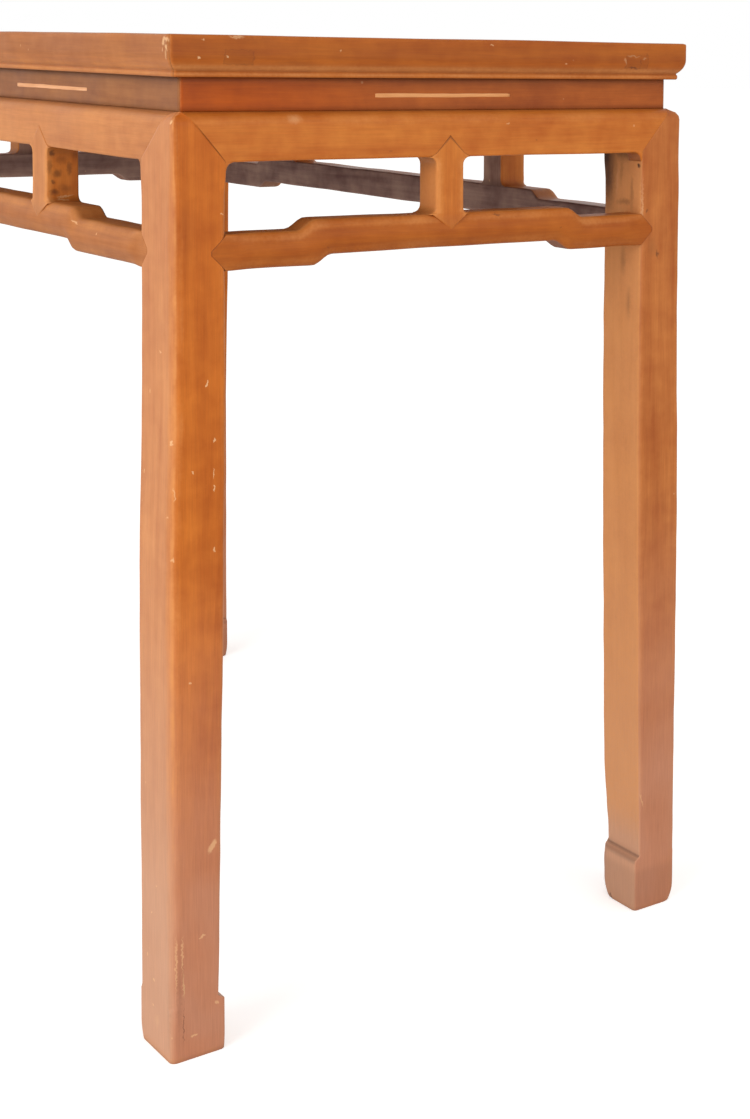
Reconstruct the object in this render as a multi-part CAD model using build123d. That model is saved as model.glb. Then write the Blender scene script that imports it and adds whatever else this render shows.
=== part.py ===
from build123d import *
import os

# A waisted altar table: mitred top frame with a floating panel, recessed waist, aprons,
# four hoof-foot legs, humpback stretchers and short struts. Every piece is wood, cut to
# fit its neighbours with tenons and pointed shoulders. Units are millimetres, +X runs
# along the length, +Y towards the back, +Z up, origin on the floor under the centre.

# Overall size
table_height = 850.0
leg_span_length = 1054.0
leg_span_depth = 514.0

# Top frame and its floating panel
top_overhang = 4.0
top_thickness = 35.0
frame_width = 84.0
top_edge_radius = 2.0
top_edge_upright = 16.0
cove_inset = 6.0
cove_depth = 27.0
bead_notch = 0.6
bead_bulge = 0.5
bead_underside = 2.0
panel_thickness = 16.0
panel_tongue_length = 7.0
panel_tongue_thickness = 8.0
panel_play = 0.5
board_count = 3
board_tongue = 5.0
board_tongue_thickness = 4.0
through_tenon_edge_distance = 60.0
through_tenon_width = 26.0
through_tenon_thickness = 12.0
through_tenon_depth_below_top = 18.5

# Dovetailed battens under the panel
batten_end_distance = 147.0
batten_width = 30.0
batten_dovetail = 4.0
batten_flare = 3.0
batten_neck = 1.0
batten_tenon_length = 12.0
batten_tenon_width = 20.0
batten_tenon_thickness = 9.0
batten_tenon_rise = 4.0

# Waist boards and the pale strips let into them
waist_height = 28.0
waist_recess = 11.5
waist_thickness = 12.0
strip_height = 4.0
strip_depth = 3.0
strip_proud = 0.4
strip_rise = 11.0
side_strip_length = 170.0
end_strip_length = 137.0

# Aprons
apron_height = 41.0
apron_thickness = 22.0
apron_round_height = 16.0
opening_radius = 9.0
apron_tenon_length = 14.0
apron_tenon_thickness = 8.0
apron_tenon_inset = 6.0

# Legs
leg_width = 62.0
leg_depth = 46.0
leg_corner_radius = 8.0
taper_below_stretcher = 137.0
taper_on_width = 1.5
taper_on_depth = 8.0
bow_on_width = 0.3
bow_on_depth = 0.5
splay_below_stretcher = 7.0
splay_height = 320.0
splay_on_depth = 4.0
hoof_height = 52.0
hoof_slope = 4.0
hoof_jut_on_width = 1.0
hoof_jut_on_depth = 5.0
foot_chamfer = 2.5
skin_depth = 11.0
long_leg_tenon_length = 15.0
long_leg_tenon_height = 18.0
short_leg_tenon_length = 8.0
short_leg_tenon_height = 9.0
leg_tenon_gap = 5.0
leg_tenon_shoulder = 2.0
post_lap = 1.0

# Humpback stretchers; distances along them are from the inner face of the leg
opening_height = 50.0
stretcher_height = 30.0
stretcher_depth = 29.0
hump_rise = 9.0
ogee_length = 18.0
side_rise_distance = 148.0
side_rise_lag = 10.0
end_rise_distance = 76.5
end_rise_lag = 11.5
shoulder_point = 15.0
shoulder_skin = 10.0
stretcher_tenon_setback = 2.0
stretcher_tenon_length = 15.0
stretcher_tenon_thickness = 10.0
stretcher_tenon_inset = 5.0

# Struts between the stretchers and the aprons
side_strut_distance = 227.0
side_strut_width = 35.0
end_strut_width = 28.0
strut_depth = 27.0
strut_flare = 7.0
strut_skin = 8.0
strut_point_base = 3.0
strut_point_height = 19.0
strut_foot_point = 14.0
strut_tenon_width = 14.0
strut_tenon_thickness = 9.0
strut_tenon_length = 12.0
strut_tenon_setback = 2.0

# Levels and half sizes that follow from the sizes above
half_length = leg_span_length / 2
half_depth = leg_span_depth / 2
top_half_length = half_length + top_overhang
top_half_depth = half_depth + top_overhang
top_underside = table_height - top_thickness
apron_top = top_underside - waist_height
apron_bottom = apron_top - apron_height
inner_half_length = half_length - leg_width
inner_half_depth = half_depth - leg_depth
strut_offset = inner_half_length - side_strut_distance
side_hump_half = inner_half_length - side_rise_distance
end_hump_half = inner_half_depth - end_rise_distance
hump_top = apron_bottom - opening_height
stretcher_top = hump_top - hump_rise
stretcher_middle = stretcher_top - stretcher_height / 2
stretcher_bottom = stretcher_top - stretcher_height
hump_bottom = stretcher_bottom + hump_rise
taper_start = stretcher_bottom - taper_below_stretcher
splay_start = stretcher_bottom - splay_below_stretcher
splay_end = splay_start - splay_height
panel_half_length = top_half_length - frame_width
panel_half_depth = top_half_depth - frame_width
panel_underside = table_height - panel_thickness
waist_back = waist_recess + waist_thickness
reach = 2 * leg_span_length


def block(x0, x1, y0, y1, z0, z1):
    """A box between two corners."""
    size = Box(x1 - x0, y1 - y0, z1 - z0)
    return Pos((x0 + x1) / 2, (y0 + y1) / 2, (z0 + z1) / 2) * size


def upright_prism(points, y0, y1):
    """A prism with an outline of (x, z) points and a range along Y."""
    outline = make_face(Polyline([(x, y0, z) for x, z in points], close=True))
    return extrude(outline, y1 - y0, dir=(0, 1, 0))


def swapped(shape):
    """Mirror that exchanges X and Y: a piece along X whose front looks to +Y lies along Y."""
    return mirror(Rot(0, 0, 90) * shape, about=Plane.YZ)


def inset_half_way(inset, rise):
    """How far an arc that starts upright and ends by going in has gone in at half its rise."""
    radius = (inset**2 + rise**2) / (2 * inset)
    return radius - (radius**2 - (rise / 2) ** 2) ** 0.5


def top_edge_outline(half):
    """Outline of the moulded top edge: upright, ovolo, small bead, in the XZ plane."""
    top = table_height
    upright = top - top_edge_upright
    cove = top - cove_depth
    ovolo_rise = cove_depth - top_edge_upright
    ovolo_inset = inset_half_way(cove_inset, ovolo_rise)
    bead_top = cove - bead_notch
    bead_middle = (bead_top + top_underside) / 2
    start = (half - top_edge_radius, 0, top)
    shoulder = (half, 0, top - top_edge_radius)
    ovolo_start = (half, 0, upright)
    ovolo_end = (half - cove_inset, 0, cove)
    bead_start = (half - cove_inset - bead_notch, 0, bead_top)
    bead_end = (half - cove_inset - bead_underside, 0, top_underside)
    eased = Line(start, shoulder)
    ovolo_middle = (half - ovolo_inset, 0, upright - ovolo_rise / 2)
    ovolo = ThreePointArc(ovolo_start, ovolo_middle, ovolo_end)
    bead = ThreePointArc(bead_start, (half - cove_inset + bead_bulge, 0, bead_middle), bead_end)
    edges = [eased, Line(shoulder, ovolo_start), ovolo, Line(ovolo_end, bead_start), bead]
    edges += [mirror(edge, about=Plane.YZ) for edge in edges]
    edges.append(Line(start, (-start[0], 0, top)))
    edges.append(Line(bead_end, (-bead_end[0], 0, top_underside)))
    return make_face(edges)


def apron_edge_outline(half):
    """Outline of the leg span: straight sides, rounded over below the waist."""
    inset = inset_half_way(waist_recess, apron_round_height)
    round_start = (half, 0, apron_top - apron_round_height)
    round_middle = (half - inset, 0, apron_top - apron_round_height / 2)
    round_end = (half - waist_recess, 0, apron_top)
    side = Line((half, 0, 0), round_start)
    shoulder = ThreePointArc(round_start, round_middle, round_end)
    edges = [side, shoulder, mirror(side, about=Plane.YZ), mirror(shoulder, about=Plane.YZ)]
    edges.append(Line((half, 0, 0), (-half, 0, 0)))
    edges.append(Line(round_end, (-round_end[0], 0, apron_top)))
    return make_face(edges)


def moulded_block(outline, half_x, half_y):
    """A block whose four sides all carry the same edge outline, meeting in mitres."""
    along_y = extrude(outline(half_x), reach, dir=(0, 1, 0), both=True)
    along_x = swapped(extrude(outline(half_y), reach, dir=(0, 1, 0), both=True))
    return along_y & along_x


top_envelope = moulded_block(top_edge_outline, top_half_length, top_half_depth)
leg_envelope = moulded_block(apron_edge_outline, half_length, half_depth)


def corner_half_space(along_x, half_x, half_y):
    """Where the piece along X (or Y) lies beside the 45 degree mitres of a frame."""
    points = [
        (half_x, half_y),
        (half_x - half_y, 0),
        (half_x, -half_y),
        (-half_x, -half_y),
        (half_y - half_x, 0),
        (-half_x, half_y),
    ]
    ends = [points[0:3], points[3:6]]
    height = 2 * table_height
    wedges = [extrude(make_face(Polyline(end, close=True)), height) for end in ends]
    if along_x:
        full = block(-half_x, half_x, -half_y, half_y, 0, height)
        return full - wedges[0] - wedges[1]
    return wedges[0] + wedges[1]


def apron_tongue(leg_size, half_along, half_across):
    """The outer skin of an apron, lapping over the leg above a slanted mitre line."""
    points = [
        (half_along - leg_size, apron_bottom),
        (half_along - waist_recess, apron_top),
        (half_along - leg_size, apron_top),
    ]
    return upright_prism(points, half_across - skin_depth, half_across)


def apron_fillet(leg_size, half_along, half_across):
    """The small rounded corner where the apron runs down beside the leg."""
    x1 = half_along - leg_size
    x0 = x1 - opening_radius
    z0 = apron_bottom - opening_radius
    y0 = half_across - apron_thickness
    corner = block(x0, x1, y0, half_across, z0, apron_bottom)
    bore = Pos(x0, half_across, z0) * Rot(90, 0, 0) * Cylinder(opening_radius, 4 * apron_thickness)
    return corner - bore


def apron_tenon(leg_size, half_along, half_across):
    y1 = half_across - skin_depth
    x0 = half_along - leg_size
    z0 = apron_bottom + apron_tenon_inset
    z1 = apron_top - apron_round_height
    return block(x0, x0 + apron_tenon_length, y1 - apron_tenon_thickness, y1, z0, z1)


def both_ends(piece):
    return piece + mirror(piece, about=Plane.YZ)


def strut_outline(width):
    """Front of a strut: pointed top and foot, hollow flares where it meets its neighbours."""
    half = width / 2
    flare_top = apron_bottom - strut_flare
    flare_foot = hump_top + strut_flare
    arc_mid = strut_flare * (1 - 0.5**0.5)
    top_edge = (half + strut_flare, 0, apron_bottom)
    foot_edge = (half + strut_flare, 0, hump_top)
    top_middle = (half + arc_mid, 0, apron_bottom - arc_mid)
    foot_middle = (half + arc_mid, 0, hump_top + arc_mid)
    top_arc = ThreePointArc(top_edge, top_middle, (half, 0, flare_top))
    foot_arc = ThreePointArc(foot_edge, foot_middle, (half, 0, flare_foot))
    edges = [top_arc, foot_arc, Line((half, 0, flare_top), (half, 0, flare_foot))]
    edges += [mirror(edge, about=Plane.YZ) for edge in edges]
    edges.append(Line(top_edge, (-top_edge[0], 0, apron_bottom)))
    edges.append(Line(foot_edge, (-foot_edge[0], 0, hump_top)))
    return make_face(edges)


def strut(width, half_across):
    """A strut centred on X = 0 whose front face lies on Y = half_across."""
    front = half_across
    body = Pos(0, front, 0) * extrude(strut_outline(width), strut_depth, dir=(0, -1, 0))
    base = width / 2 + strut_point_base
    point = [(-base, apron_bottom), (0, apron_bottom + strut_point_height), (base, apron_bottom)]
    foot = [(-base, hump_top), (0, hump_top - strut_foot_point), (base, hump_top)]
    body += upright_prism(point, front - strut_skin, front)
    body += upright_prism(foot, front - strut_skin, front)
    y1 = front - strut_skin - strut_tenon_setback
    half = strut_tenon_width / 2
    z0 = hump_top - strut_tenon_length
    z1 = apron_bottom + strut_tenon_length
    return body + block(-half, half, y1 - strut_tenon_thickness, y1, z0, z1)


def stretcher_tip(leg_size, half_along, half_across):
    """Pointed shoulder of a stretcher, lapping over the face of the leg."""
    x0 = half_along - leg_size
    tip = (x0 + shoulder_point, stretcher_middle)
    points = [(x0, stretcher_bottom), tip, (x0, stretcher_top)]
    return upright_prism(points, half_across - shoulder_skin, half_across)


def stretcher_tenon(leg_size, half_along, half_across):
    x0 = half_along - leg_size
    y1 = half_across - shoulder_skin - stretcher_tenon_setback
    z0 = stretcher_bottom + stretcher_tenon_inset
    z1 = stretcher_top - stretcher_tenon_inset
    x1 = x0 + stretcher_tenon_length
    return block(x0, x1, y1 - stretcher_tenon_thickness, y1, z0, z1)


def ogee(start, end):
    level = (1, 0, 0)
    return Spline(start, end, tangents=[level, level])


def stretcher_outline(half, half_top, half_bottom):
    """Front of a humpback stretcher: low ends, an S-shaped rise, a raised middle."""
    reach_out = ogee_length / 2
    top = ogee((half_top - reach_out, 0, hump_top), (half_top + reach_out, 0, stretcher_top))
    bottom = ogee(
        (half_bottom - reach_out, 0, hump_bottom), (half_bottom + reach_out, 0, stretcher_bottom)
    )
    end_top = (half, 0, stretcher_top)
    end_bottom = (half, 0, stretcher_bottom)
    edges = [top, bottom, Line(top @ 1, end_top), Line(bottom @ 1, end_bottom)]
    edges.append(Line(end_top, end_bottom))
    edges += [mirror(edge, about=Plane.YZ) for edge in edges]
    for raised in (top, bottom):
        inner = raised @ 0
        edges.append(Line(inner, (-inner.X, 0, inner.Z)))
    return make_face(edges)


def stretcher(leg_size, half_along, half_across, half_top, half_bottom):
    outline = stretcher_outline(half_along - leg_size, half_top, half_bottom)
    body = Pos(0, half_across, 0) * extrude(outline, stretcher_depth, dir=(0, -1, 0))
    body += both_ends(stretcher_tip(leg_size, half_along, half_across))
    return body + both_ends(stretcher_tenon(leg_size, half_along, half_across))


def apron(leg_size, half_along, half_across):
    inner = half_along - leg_size
    body = block(
        -inner, inner, half_across - apron_thickness, half_across, apron_bottom, apron_top
    )
    body += both_ends(apron_tongue(leg_size, half_along, half_across))
    body += both_ends(apron_fillet(leg_size, half_along, half_across))
    return body + both_ends(apron_tenon(leg_size, half_along, half_across))


def outer_leg_edges(outer, splay):
    """Outer face above the foot: upright, or an ogee of two arcs between two uprights."""
    top = (outer, 0, apron_top)
    foot = (outer + splay, 0, foot_chamfer)
    if splay == 0:
        return [Line(foot, top)]
    quarter = splay_height / 4
    inset = inset_half_way(splay / 2, splay_height / 2)
    low = (outer + splay, 0, splay_end)
    low_bend = (outer + splay - inset, 0, splay_end + quarter)
    middle = (outer + splay / 2, 0, splay_end + 2 * quarter)
    high_bend = (outer + inset, 0, splay_start - quarter)
    high = (outer, 0, splay_start)
    arcs = [ThreePointArc(low, low_bend, middle), ThreePointArc(middle, high_bend, high)]
    return [Line(foot, low)] + arcs + [Line(high, top)]


def leg_outline(outer, size, taper, bow, jut, splay):
    """Leg seen from one side: the inner face tapers, with a bow inwards, to a hoof."""
    inner = outer - size
    ankle = inner + taper
    hoof = ankle - jut
    foot = outer + splay
    start = (inner, 0, taper_start)
    end = (ankle, 0, hoof_height)
    middle = (inner + taper / 2 - bow, 0, (taper_start + hoof_height) / 2)
    taper_edge = ThreePointArc(start, middle, end)
    lower = Polyline(
        end,
        (hoof, 0, hoof_height - hoof_slope),
        (hoof, 0, foot_chamfer),
        (hoof + foot_chamfer, 0, 0),
        (foot - foot_chamfer, 0, 0),
        (foot, 0, foot_chamfer),
    )
    upper = Polyline((outer, 0, apron_top), (inner, 0, apron_top), start)
    edges = [taper_edge] + list(lower.edges()) + list(upper.edges())
    return make_face(edges + outer_leg_edges(outer, splay))


def leg_body():
    """The leg at +X +Y up to the waist: its two side outlines intersected."""
    side = leg_outline(
        half_length, leg_width, taper_on_width, bow_on_width, hoof_jut_on_width, 0
    )
    end = leg_outline(
        half_depth, leg_depth, taper_on_depth, bow_on_depth, hoof_jut_on_depth, splay_on_depth
    )
    body = extrude(side, reach, dir=(0, 1, 0), both=True)
    return body & swapped(extrude(end, reach, dir=(0, 1, 0), both=True))


def leg_top_tenons():
    """A long tenon for the long rail and a short one for the end rail."""
    x0 = half_length - leg_width + leg_tenon_shoulder
    x1 = x0 + long_leg_tenon_length
    x2 = half_length - waist_back - leg_tenon_shoulder
    y0 = half_depth - leg_depth
    y1 = half_depth - waist_back - leg_tenon_shoulder
    z0 = top_underside
    long_tenon = block(x0, x1, y0 + leg_tenon_gap, y1, z0, z0 + long_leg_tenon_height)
    short_tenon = block(
        x2 - short_leg_tenon_length,
        x2,
        y0 + leg_tenon_shoulder,
        y0 + leg_tenon_shoulder + short_leg_tenon_length,
        z0,
        z0 + short_leg_tenon_height,
    )
    return long_tenon + short_tenon


beside_x = corner_half_space(True, half_length, half_depth)
beside_y = corner_half_space(False, half_length, half_depth)

# Full-length pieces, made for the back (+Y) side and the right (+X) end
side_apron_blank = apron(leg_width, half_length, half_depth) & beside_x
end_apron_blank = swapped(apron(leg_depth, half_depth, half_length)) & beside_y
side_apron = side_apron_blank & leg_envelope
end_apron = end_apron_blank & leg_envelope
side_stretcher = stretcher(
    leg_width, half_length, half_depth, side_hump_half, side_hump_half - side_rise_lag
)
end_stretcher = swapped(
    stretcher(leg_depth, half_depth, half_length, end_hump_half, end_hump_half - end_rise_lag)
)
strut_places = (-strut_offset, strut_offset)
side_struts = [Pos(x, 0, 0) * strut(side_strut_width, half_depth) for x in strut_places]
end_strut = swapped(strut(end_strut_width, half_length))

for one_strut in side_struts:
    side_apron -= one_strut
    side_stretcher -= one_strut
end_apron -= end_strut
end_stretcher -= end_strut


def leg():
    """The finished leg at +X +Y, with every recess that its neighbours need."""
    core = block(
        half_length - leg_width,
        half_length - waist_back,
        half_depth - leg_depth,
        half_depth - waist_back,
        apron_top - post_lap,
        top_underside,
    )
    body = leg_body()
    corner_edge = body.edges().sort_by(lambda edge: edge.center().X + edge.center().Y)[-1]
    body = fillet(corner_edge, leg_corner_radius)
    body = body - side_apron_blank - end_apron_blank - side_stretcher - end_stretcher
    splay_room = block(0, reach, 0, reach, 0, splay_start)
    return (body & (leg_envelope + splay_room)) + core + leg_top_tenons()


back_right_leg = leg()


def waist_board(half_along, half_across):
    front = half_across - waist_recess
    along = half_along - waist_recess
    return block(-along, along, front - waist_thickness, front, apron_top, top_underside)


def waist_strip(length, half_across):
    front = half_across - waist_recess
    z0 = apron_top + strip_rise
    z1 = z0 + strip_height
    return block(-length / 2, length / 2, front - strip_depth, front + strip_proud, z0, z1)


side_strips = [Pos(x, 0, 0) * waist_strip(side_strip_length, half_depth) for x in strut_places]
end_strip = swapped(waist_strip(end_strip_length, half_length))
side_waist = waist_board(half_length, half_depth) & beside_x
end_waist = swapped(waist_board(half_depth, half_length)) & beside_y
for strip in side_strips:
    side_waist -= strip
end_waist -= end_strip


# Top: frame rails with mitred corners, through tenons and a groove for the panel
top_beside_x = corner_half_space(True, top_half_length, top_half_depth)
top_beside_y = corner_half_space(False, top_half_length, top_half_depth)


def all_corners(piece):
    pair = piece + mirror(piece, about=Plane.YZ)
    return pair + mirror(pair, about=Plane.XZ)


def through_tenon():
    y0 = top_half_depth - through_tenon_edge_distance - through_tenon_width / 2
    z0 = table_height - through_tenon_depth_below_top - through_tenon_thickness / 2
    x0 = panel_half_length
    y1 = y0 + through_tenon_width
    z1 = z0 + through_tenon_thickness
    return block(x0, top_half_length, y0, y1, z0, z1) & top_envelope


def batten(x):
    """A batten that slides into the panel's underside in a dovetail."""
    half = batten_width / 2
    points = [
        (x - half, top_underside),
        (x + half, top_underside),
        (x + half, panel_underside),
        (x + half + batten_neck, panel_underside),
        (x + half + batten_flare, panel_underside + batten_dovetail),
        (x - half - batten_flare, panel_underside + batten_dovetail),
        (x - half - batten_neck, panel_underside),
        (x - half, panel_underside),
    ]
    body = upright_prism(points, -panel_half_depth, panel_half_depth)
    reach_y = panel_half_depth + batten_tenon_length
    z0 = top_underside + batten_tenon_rise
    tenon_half = batten_tenon_width / 2
    tenon = block(
        x - tenon_half, x + tenon_half, -reach_y, reach_y, z0, z0 + batten_tenon_thickness
    )
    return body + tenon


outer_batten = panel_half_length - batten_end_distance
battens = [batten(step * outer_batten) for step in (-1, 0, 1)]

panel_groove = block(
    -panel_half_length - panel_tongue_length - panel_play,
    panel_half_length + panel_tongue_length + panel_play,
    -panel_half_depth - panel_tongue_length - panel_play,
    panel_half_depth + panel_tongue_length + panel_play,
    panel_underside,
    panel_underside + panel_tongue_thickness,
)
frame_opening = block(
    -panel_half_length, panel_half_length, -panel_half_depth, panel_half_depth, 0, 2 * table_height
)
back_half = block(-reach, reach, 0, reach, 0, reach)
right_half = block(0, reach, -reach, reach, 0, reach)
frame_ring = top_envelope - frame_opening - panel_groove
legs_all = all_corners(back_right_leg)
tenons_all = all_corners(through_tenon())
side_rail = (frame_ring & top_beside_x & back_half) + (tenons_all & back_half)
side_rail = side_rail - panel_groove - legs_all
for one_batten in battens:
    side_rail -= one_batten
end_rail = frame_ring & top_beside_y & right_half
end_rail = end_rail - tenons_all - legs_all


def panel_board(index):
    """One lengthwise board of the panel, with tongues all round the panel."""
    board_width = 2 * panel_half_depth / board_count
    y0 = -panel_half_depth + index * board_width
    y1 = y0 + board_width
    first = index == 0
    last = index == board_count - 1
    z_tongue = panel_underside + panel_tongue_thickness
    x_top = panel_half_length - panel_play
    x_tongue = panel_half_length + panel_tongue_length
    y0_top = y0 + panel_play if first else y0
    y1_top = y1 - panel_play if last else y1
    y0_tongue = y0 - panel_tongue_length if first else y0
    y1_tongue = y1 + panel_tongue_length if last else y1
    board = block(-x_top, x_top, y0_top, y1_top, z_tongue, table_height)
    board += block(-x_tongue, x_tongue, y0_tongue, y1_tongue, panel_underside, z_tongue)
    z_joint = z_tongue + board_tongue_thickness
    if not last:
        board += block(-x_top, x_top, y1, y1 + board_tongue, z_tongue, z_joint)
    if not first:
        board -= block(-reach, reach, y0, y0 + board_tongue, z_tongue, z_joint)
    for one_batten in battens:
        board -= one_batten
    return board


def front(piece):
    return mirror(piece, about=Plane.XZ)


def left(piece):
    return mirror(piece, about=Plane.YZ)


nodes = {
    "top_rail_back": side_rail,
    "top_rail_front": front(side_rail),
    "top_rail_right": end_rail,
    "top_rail_left": left(end_rail),
    "waist_back": side_waist,
    "waist_front": front(side_waist),
    "waist_right": end_waist,
    "waist_left": left(end_waist),
    "apron_back": side_apron,
    "apron_front": front(side_apron),
    "apron_right": end_apron,
    "apron_left": left(end_apron),
    "leg_back_right": back_right_leg,
    "leg_back_left": left(back_right_leg),
    "leg_front_right": front(back_right_leg),
    "leg_front_left": front(left(back_right_leg)),
    "stretcher_back": side_stretcher,
    "stretcher_front": front(side_stretcher),
    "stretcher_right": end_stretcher,
    "stretcher_left": left(end_stretcher),
    "strut_right": end_strut,
    "strut_left": left(end_strut),
    "waist_strip_right": end_strip,
    "waist_strip_left": left(end_strip),
}
for index, place in enumerate(("front", "middle", "back")):
    nodes[f"panel_board_{place}"] = panel_board(index)
for index, place in enumerate(("left", "middle", "right")):
    nodes[f"panel_batten_{place}"] = battens[index]
for index, place in enumerate(("left", "right")):
    nodes[f"strut_back_{place}"] = side_struts[index]
    nodes[f"strut_front_{place}"] = front(side_struts[index])
    nodes[f"waist_strip_back_{place}"] = side_strips[index]
    nodes[f"waist_strip_front_{place}"] = front(side_strips[index])

os.makedirs("parts", exist_ok=True)
for name, piece in nodes.items():
    export_step(piece, f"parts/{name}.step")
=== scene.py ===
import math
from functools import partial, reduce
import bpy
import numpy as np
from mathutils import Matrix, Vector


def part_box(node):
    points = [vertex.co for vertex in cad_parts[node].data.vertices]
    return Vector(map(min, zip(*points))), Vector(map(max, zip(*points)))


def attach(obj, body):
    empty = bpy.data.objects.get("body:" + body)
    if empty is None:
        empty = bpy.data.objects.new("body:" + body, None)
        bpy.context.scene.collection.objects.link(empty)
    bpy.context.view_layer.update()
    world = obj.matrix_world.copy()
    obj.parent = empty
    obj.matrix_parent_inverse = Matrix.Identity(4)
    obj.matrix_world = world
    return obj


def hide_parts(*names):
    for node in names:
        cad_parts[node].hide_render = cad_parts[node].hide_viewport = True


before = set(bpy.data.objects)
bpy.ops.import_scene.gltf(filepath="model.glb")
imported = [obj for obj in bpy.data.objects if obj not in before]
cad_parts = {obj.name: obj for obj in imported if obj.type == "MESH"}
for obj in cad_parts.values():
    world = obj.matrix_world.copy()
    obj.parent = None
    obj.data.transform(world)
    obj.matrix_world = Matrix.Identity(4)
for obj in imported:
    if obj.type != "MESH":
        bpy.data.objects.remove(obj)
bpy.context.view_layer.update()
print("frame loaded:", len(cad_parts), "nodes")

mm = 0.001


def settings(plain={}, **lengths):
    # one dictionary of a piece's settings: those as they are, and lengths given in millimetres
    return {**plain, **{key: value * mm for key, value in lengths.items()}}


# sizes read from the frame
legLow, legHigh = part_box("leg_back_right")
apronLow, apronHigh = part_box("apron_back")
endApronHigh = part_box("apron_right")[1]
waistLow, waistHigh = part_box("waist_back")
stretcherLow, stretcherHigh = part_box("stretcher_back")
strutLow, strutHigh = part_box("strut_back_right")
endStrutLow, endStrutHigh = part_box("strut_right")
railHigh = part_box("top_rail_back")[1]
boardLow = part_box("panel_board_back")[0]
stripLow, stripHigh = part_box("waist_strip_back_right")
endStripLow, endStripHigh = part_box("waist_strip_right")

openingRadius = 9 * mm
humpRise = 9 * mm
halfLength = endApronHigh.x  # outer faces of aprons and legs
halfDepth = apronHigh.y
innerLength = legLow.x  # inner faces of the legs
innerDepth = legLow.y
legSplay = legHigh.y - halfDepth  # how far the legs lean out below the stretchers
apronTop = apronHigh.z
apronBottom = apronLow.z + openingRadius
waistRecess = halfDepth - waistHigh.y
topUnderside = waistHigh.z
topHalfLength = railHigh.x
topHalfDepth = railHigh.y
tableHeight = railHigh.z
humpTop = stretcherHigh.z
stretcherTop = humpTop - humpRise
stretcherBottom = stretcherLow.z
stretcherMiddle = (stretcherTop + stretcherBottom) / 2
postBack = halfDepth - waistLow.y
strutFlare = 7 * mm
strutFace = strutHigh.x - strutFlare

# along: half length of the side; inner: where the leg's inner face is; across: its outer face; and how much
# of the painted sheen the side's faces take, full on the long sides
longSide = {"kind": "long", "along": halfLength, "inner": innerLength, "across": halfDepth, "bleach": 1.0}
endSide = {"kind": "end", "along": halfDepth, "inner": innerDepth, "across": halfLength, "bleach": 0.0}
sides = {"back": longSide, "front": longSide, "right": endSide, "left": endSide}


def drift(values, seed, length):
    # smooth noise between -1 and 1: three sines of unlike lengths, each with its own phase
    phases = np.random.default_rng(seed).uniform(0, 2 * math.pi, 3)
    total = np.zeros_like(values, dtype=float)
    for share, weight, phase in zip((1.0, 0.57, 0.31), (1.0, 0.6, 0.35), phases):
        total += weight * np.sin(2 * math.pi * values / (length * share) + phase)
    return total / 1.95


def smooth(share):
    # 3t^2 - 2t^3, from 0 to 1 with level ends
    share = np.clip(share, 0, 1)
    return share * share * (3 - 2 * share)


def ramp(values, start, length):
    # eased from 0 at start to 1 a length further on, both in millimetres; a negative length goes down
    return smooth((values - start * mm) / (length * mm))


def fallOff(distance, length):
    # from 1 down, to a third at a length in millimetres
    return np.exp(-np.abs(distance) / (length * mm))


def bell(values, middle, width):
    # 1 at the middle and near 0 two widths away
    return np.exp(-(((values - middle) / width) ** 2))


def highest(*layers):
    # the largest of several layers at each point
    return reduce(np.maximum, layers)


def roundInset(depth, radius):
    # how far a quarter circle stands back from the corner's face, depth below its end
    reach = np.clip(radius - depth, 0, radius)
    return radius - np.sqrt(radius * radius - reach * reach)


# the rounded shoulder that legs and aprons share, and the radius of the corner they share there
shoulder = settings(rise=10, cornerLow=4.5, cornerHigh=3.5, closed=4, opening=16)
cornerCut = 1 - math.sqrt(0.5)  # a mitre stops half way round a corner, this share of its radius short
rims = [0, 1, -2, -1]  # the rows beside a piece's ends
bareShare = 0.9  # how bare of lacquer the hidden faces are


def shoulderInset(height):
    # a quarter ellipse that leaves the upright face at the round's foot and ends level at the waist
    share = np.clip((height - apronTop + shoulder["rise"]) / shoulder["rise"], 0, 1)
    return waistRecess * (1 - np.sqrt(1 - share**2))


def cornerRadius(height):
    # the outer corner is worn rounder on the leg than up at the waist
    share = smooth((height - apronBottom) / (apronTop - apronBottom))
    return shoulder["cornerLow"] + (shoulder["cornerHigh"] - shoulder["cornerLow"]) * share


def openShare(height):
    # joints are closed under the shoulder, and open to their full width below it
    return smooth((apronTop - shoulder["closed"] - height) / shoulder["opening"])


def roundedLoop(lengthA, lengthB, spacing, arcPoints, falloff=5 * mm):
    # A rectangle with rounded corners as shares: a point is low + r + (size - 2r) * share + r * turn.
    # Corners come in the order (high, low), (high, high), (low, high), (low, low). near falls off
    # from 1 at each corner.
    corners = np.array([(1, 0), (1, 1), (0, 1), (0, 0)], float)
    weights = np.eye(4)
    shares, turns, blends, nearness = [], [], [], []
    for k in range(4):
        after = (k + 1) % 4
        length = lengthB if k % 2 == 0 else lengthA
        angles = np.radians(np.linspace(-90, 0, arcPoints) + 90 * k)
        flat = np.linspace(0, 1, max(2, round(length / spacing)) + 1)[1:-1, None]
        arc = np.ones((arcPoints, 1))
        shares += [arc * corners[k], (1 - flat) * corners[k] + flat * corners[after]]
        turns += [np.stack([np.cos(angles), np.sin(angles)], 1)]
        turns += [np.ones_like(flat) * (math.cos(angles[-1]), math.sin(angles[-1]))]
        blends += [arc * weights[k], (1 - flat) * weights[k] + flat * weights[after]]
        fallen = np.exp(-flat * length / falloff) * weights[k]
        nearness += [arc * weights[k], fallen + np.exp(-(1 - flat) * length / falloff) * weights[after]]
    shares, turns = np.concatenate(shares), np.concatenate(turns)
    return {
        "shareA": shares[:, 0], "shareB": shares[:, 1], "turnA": turns[:, 0], "turnB": turns[:, 1],
        "blend": np.concatenate(blends), "near": np.concatenate(nearness),
    }


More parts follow.
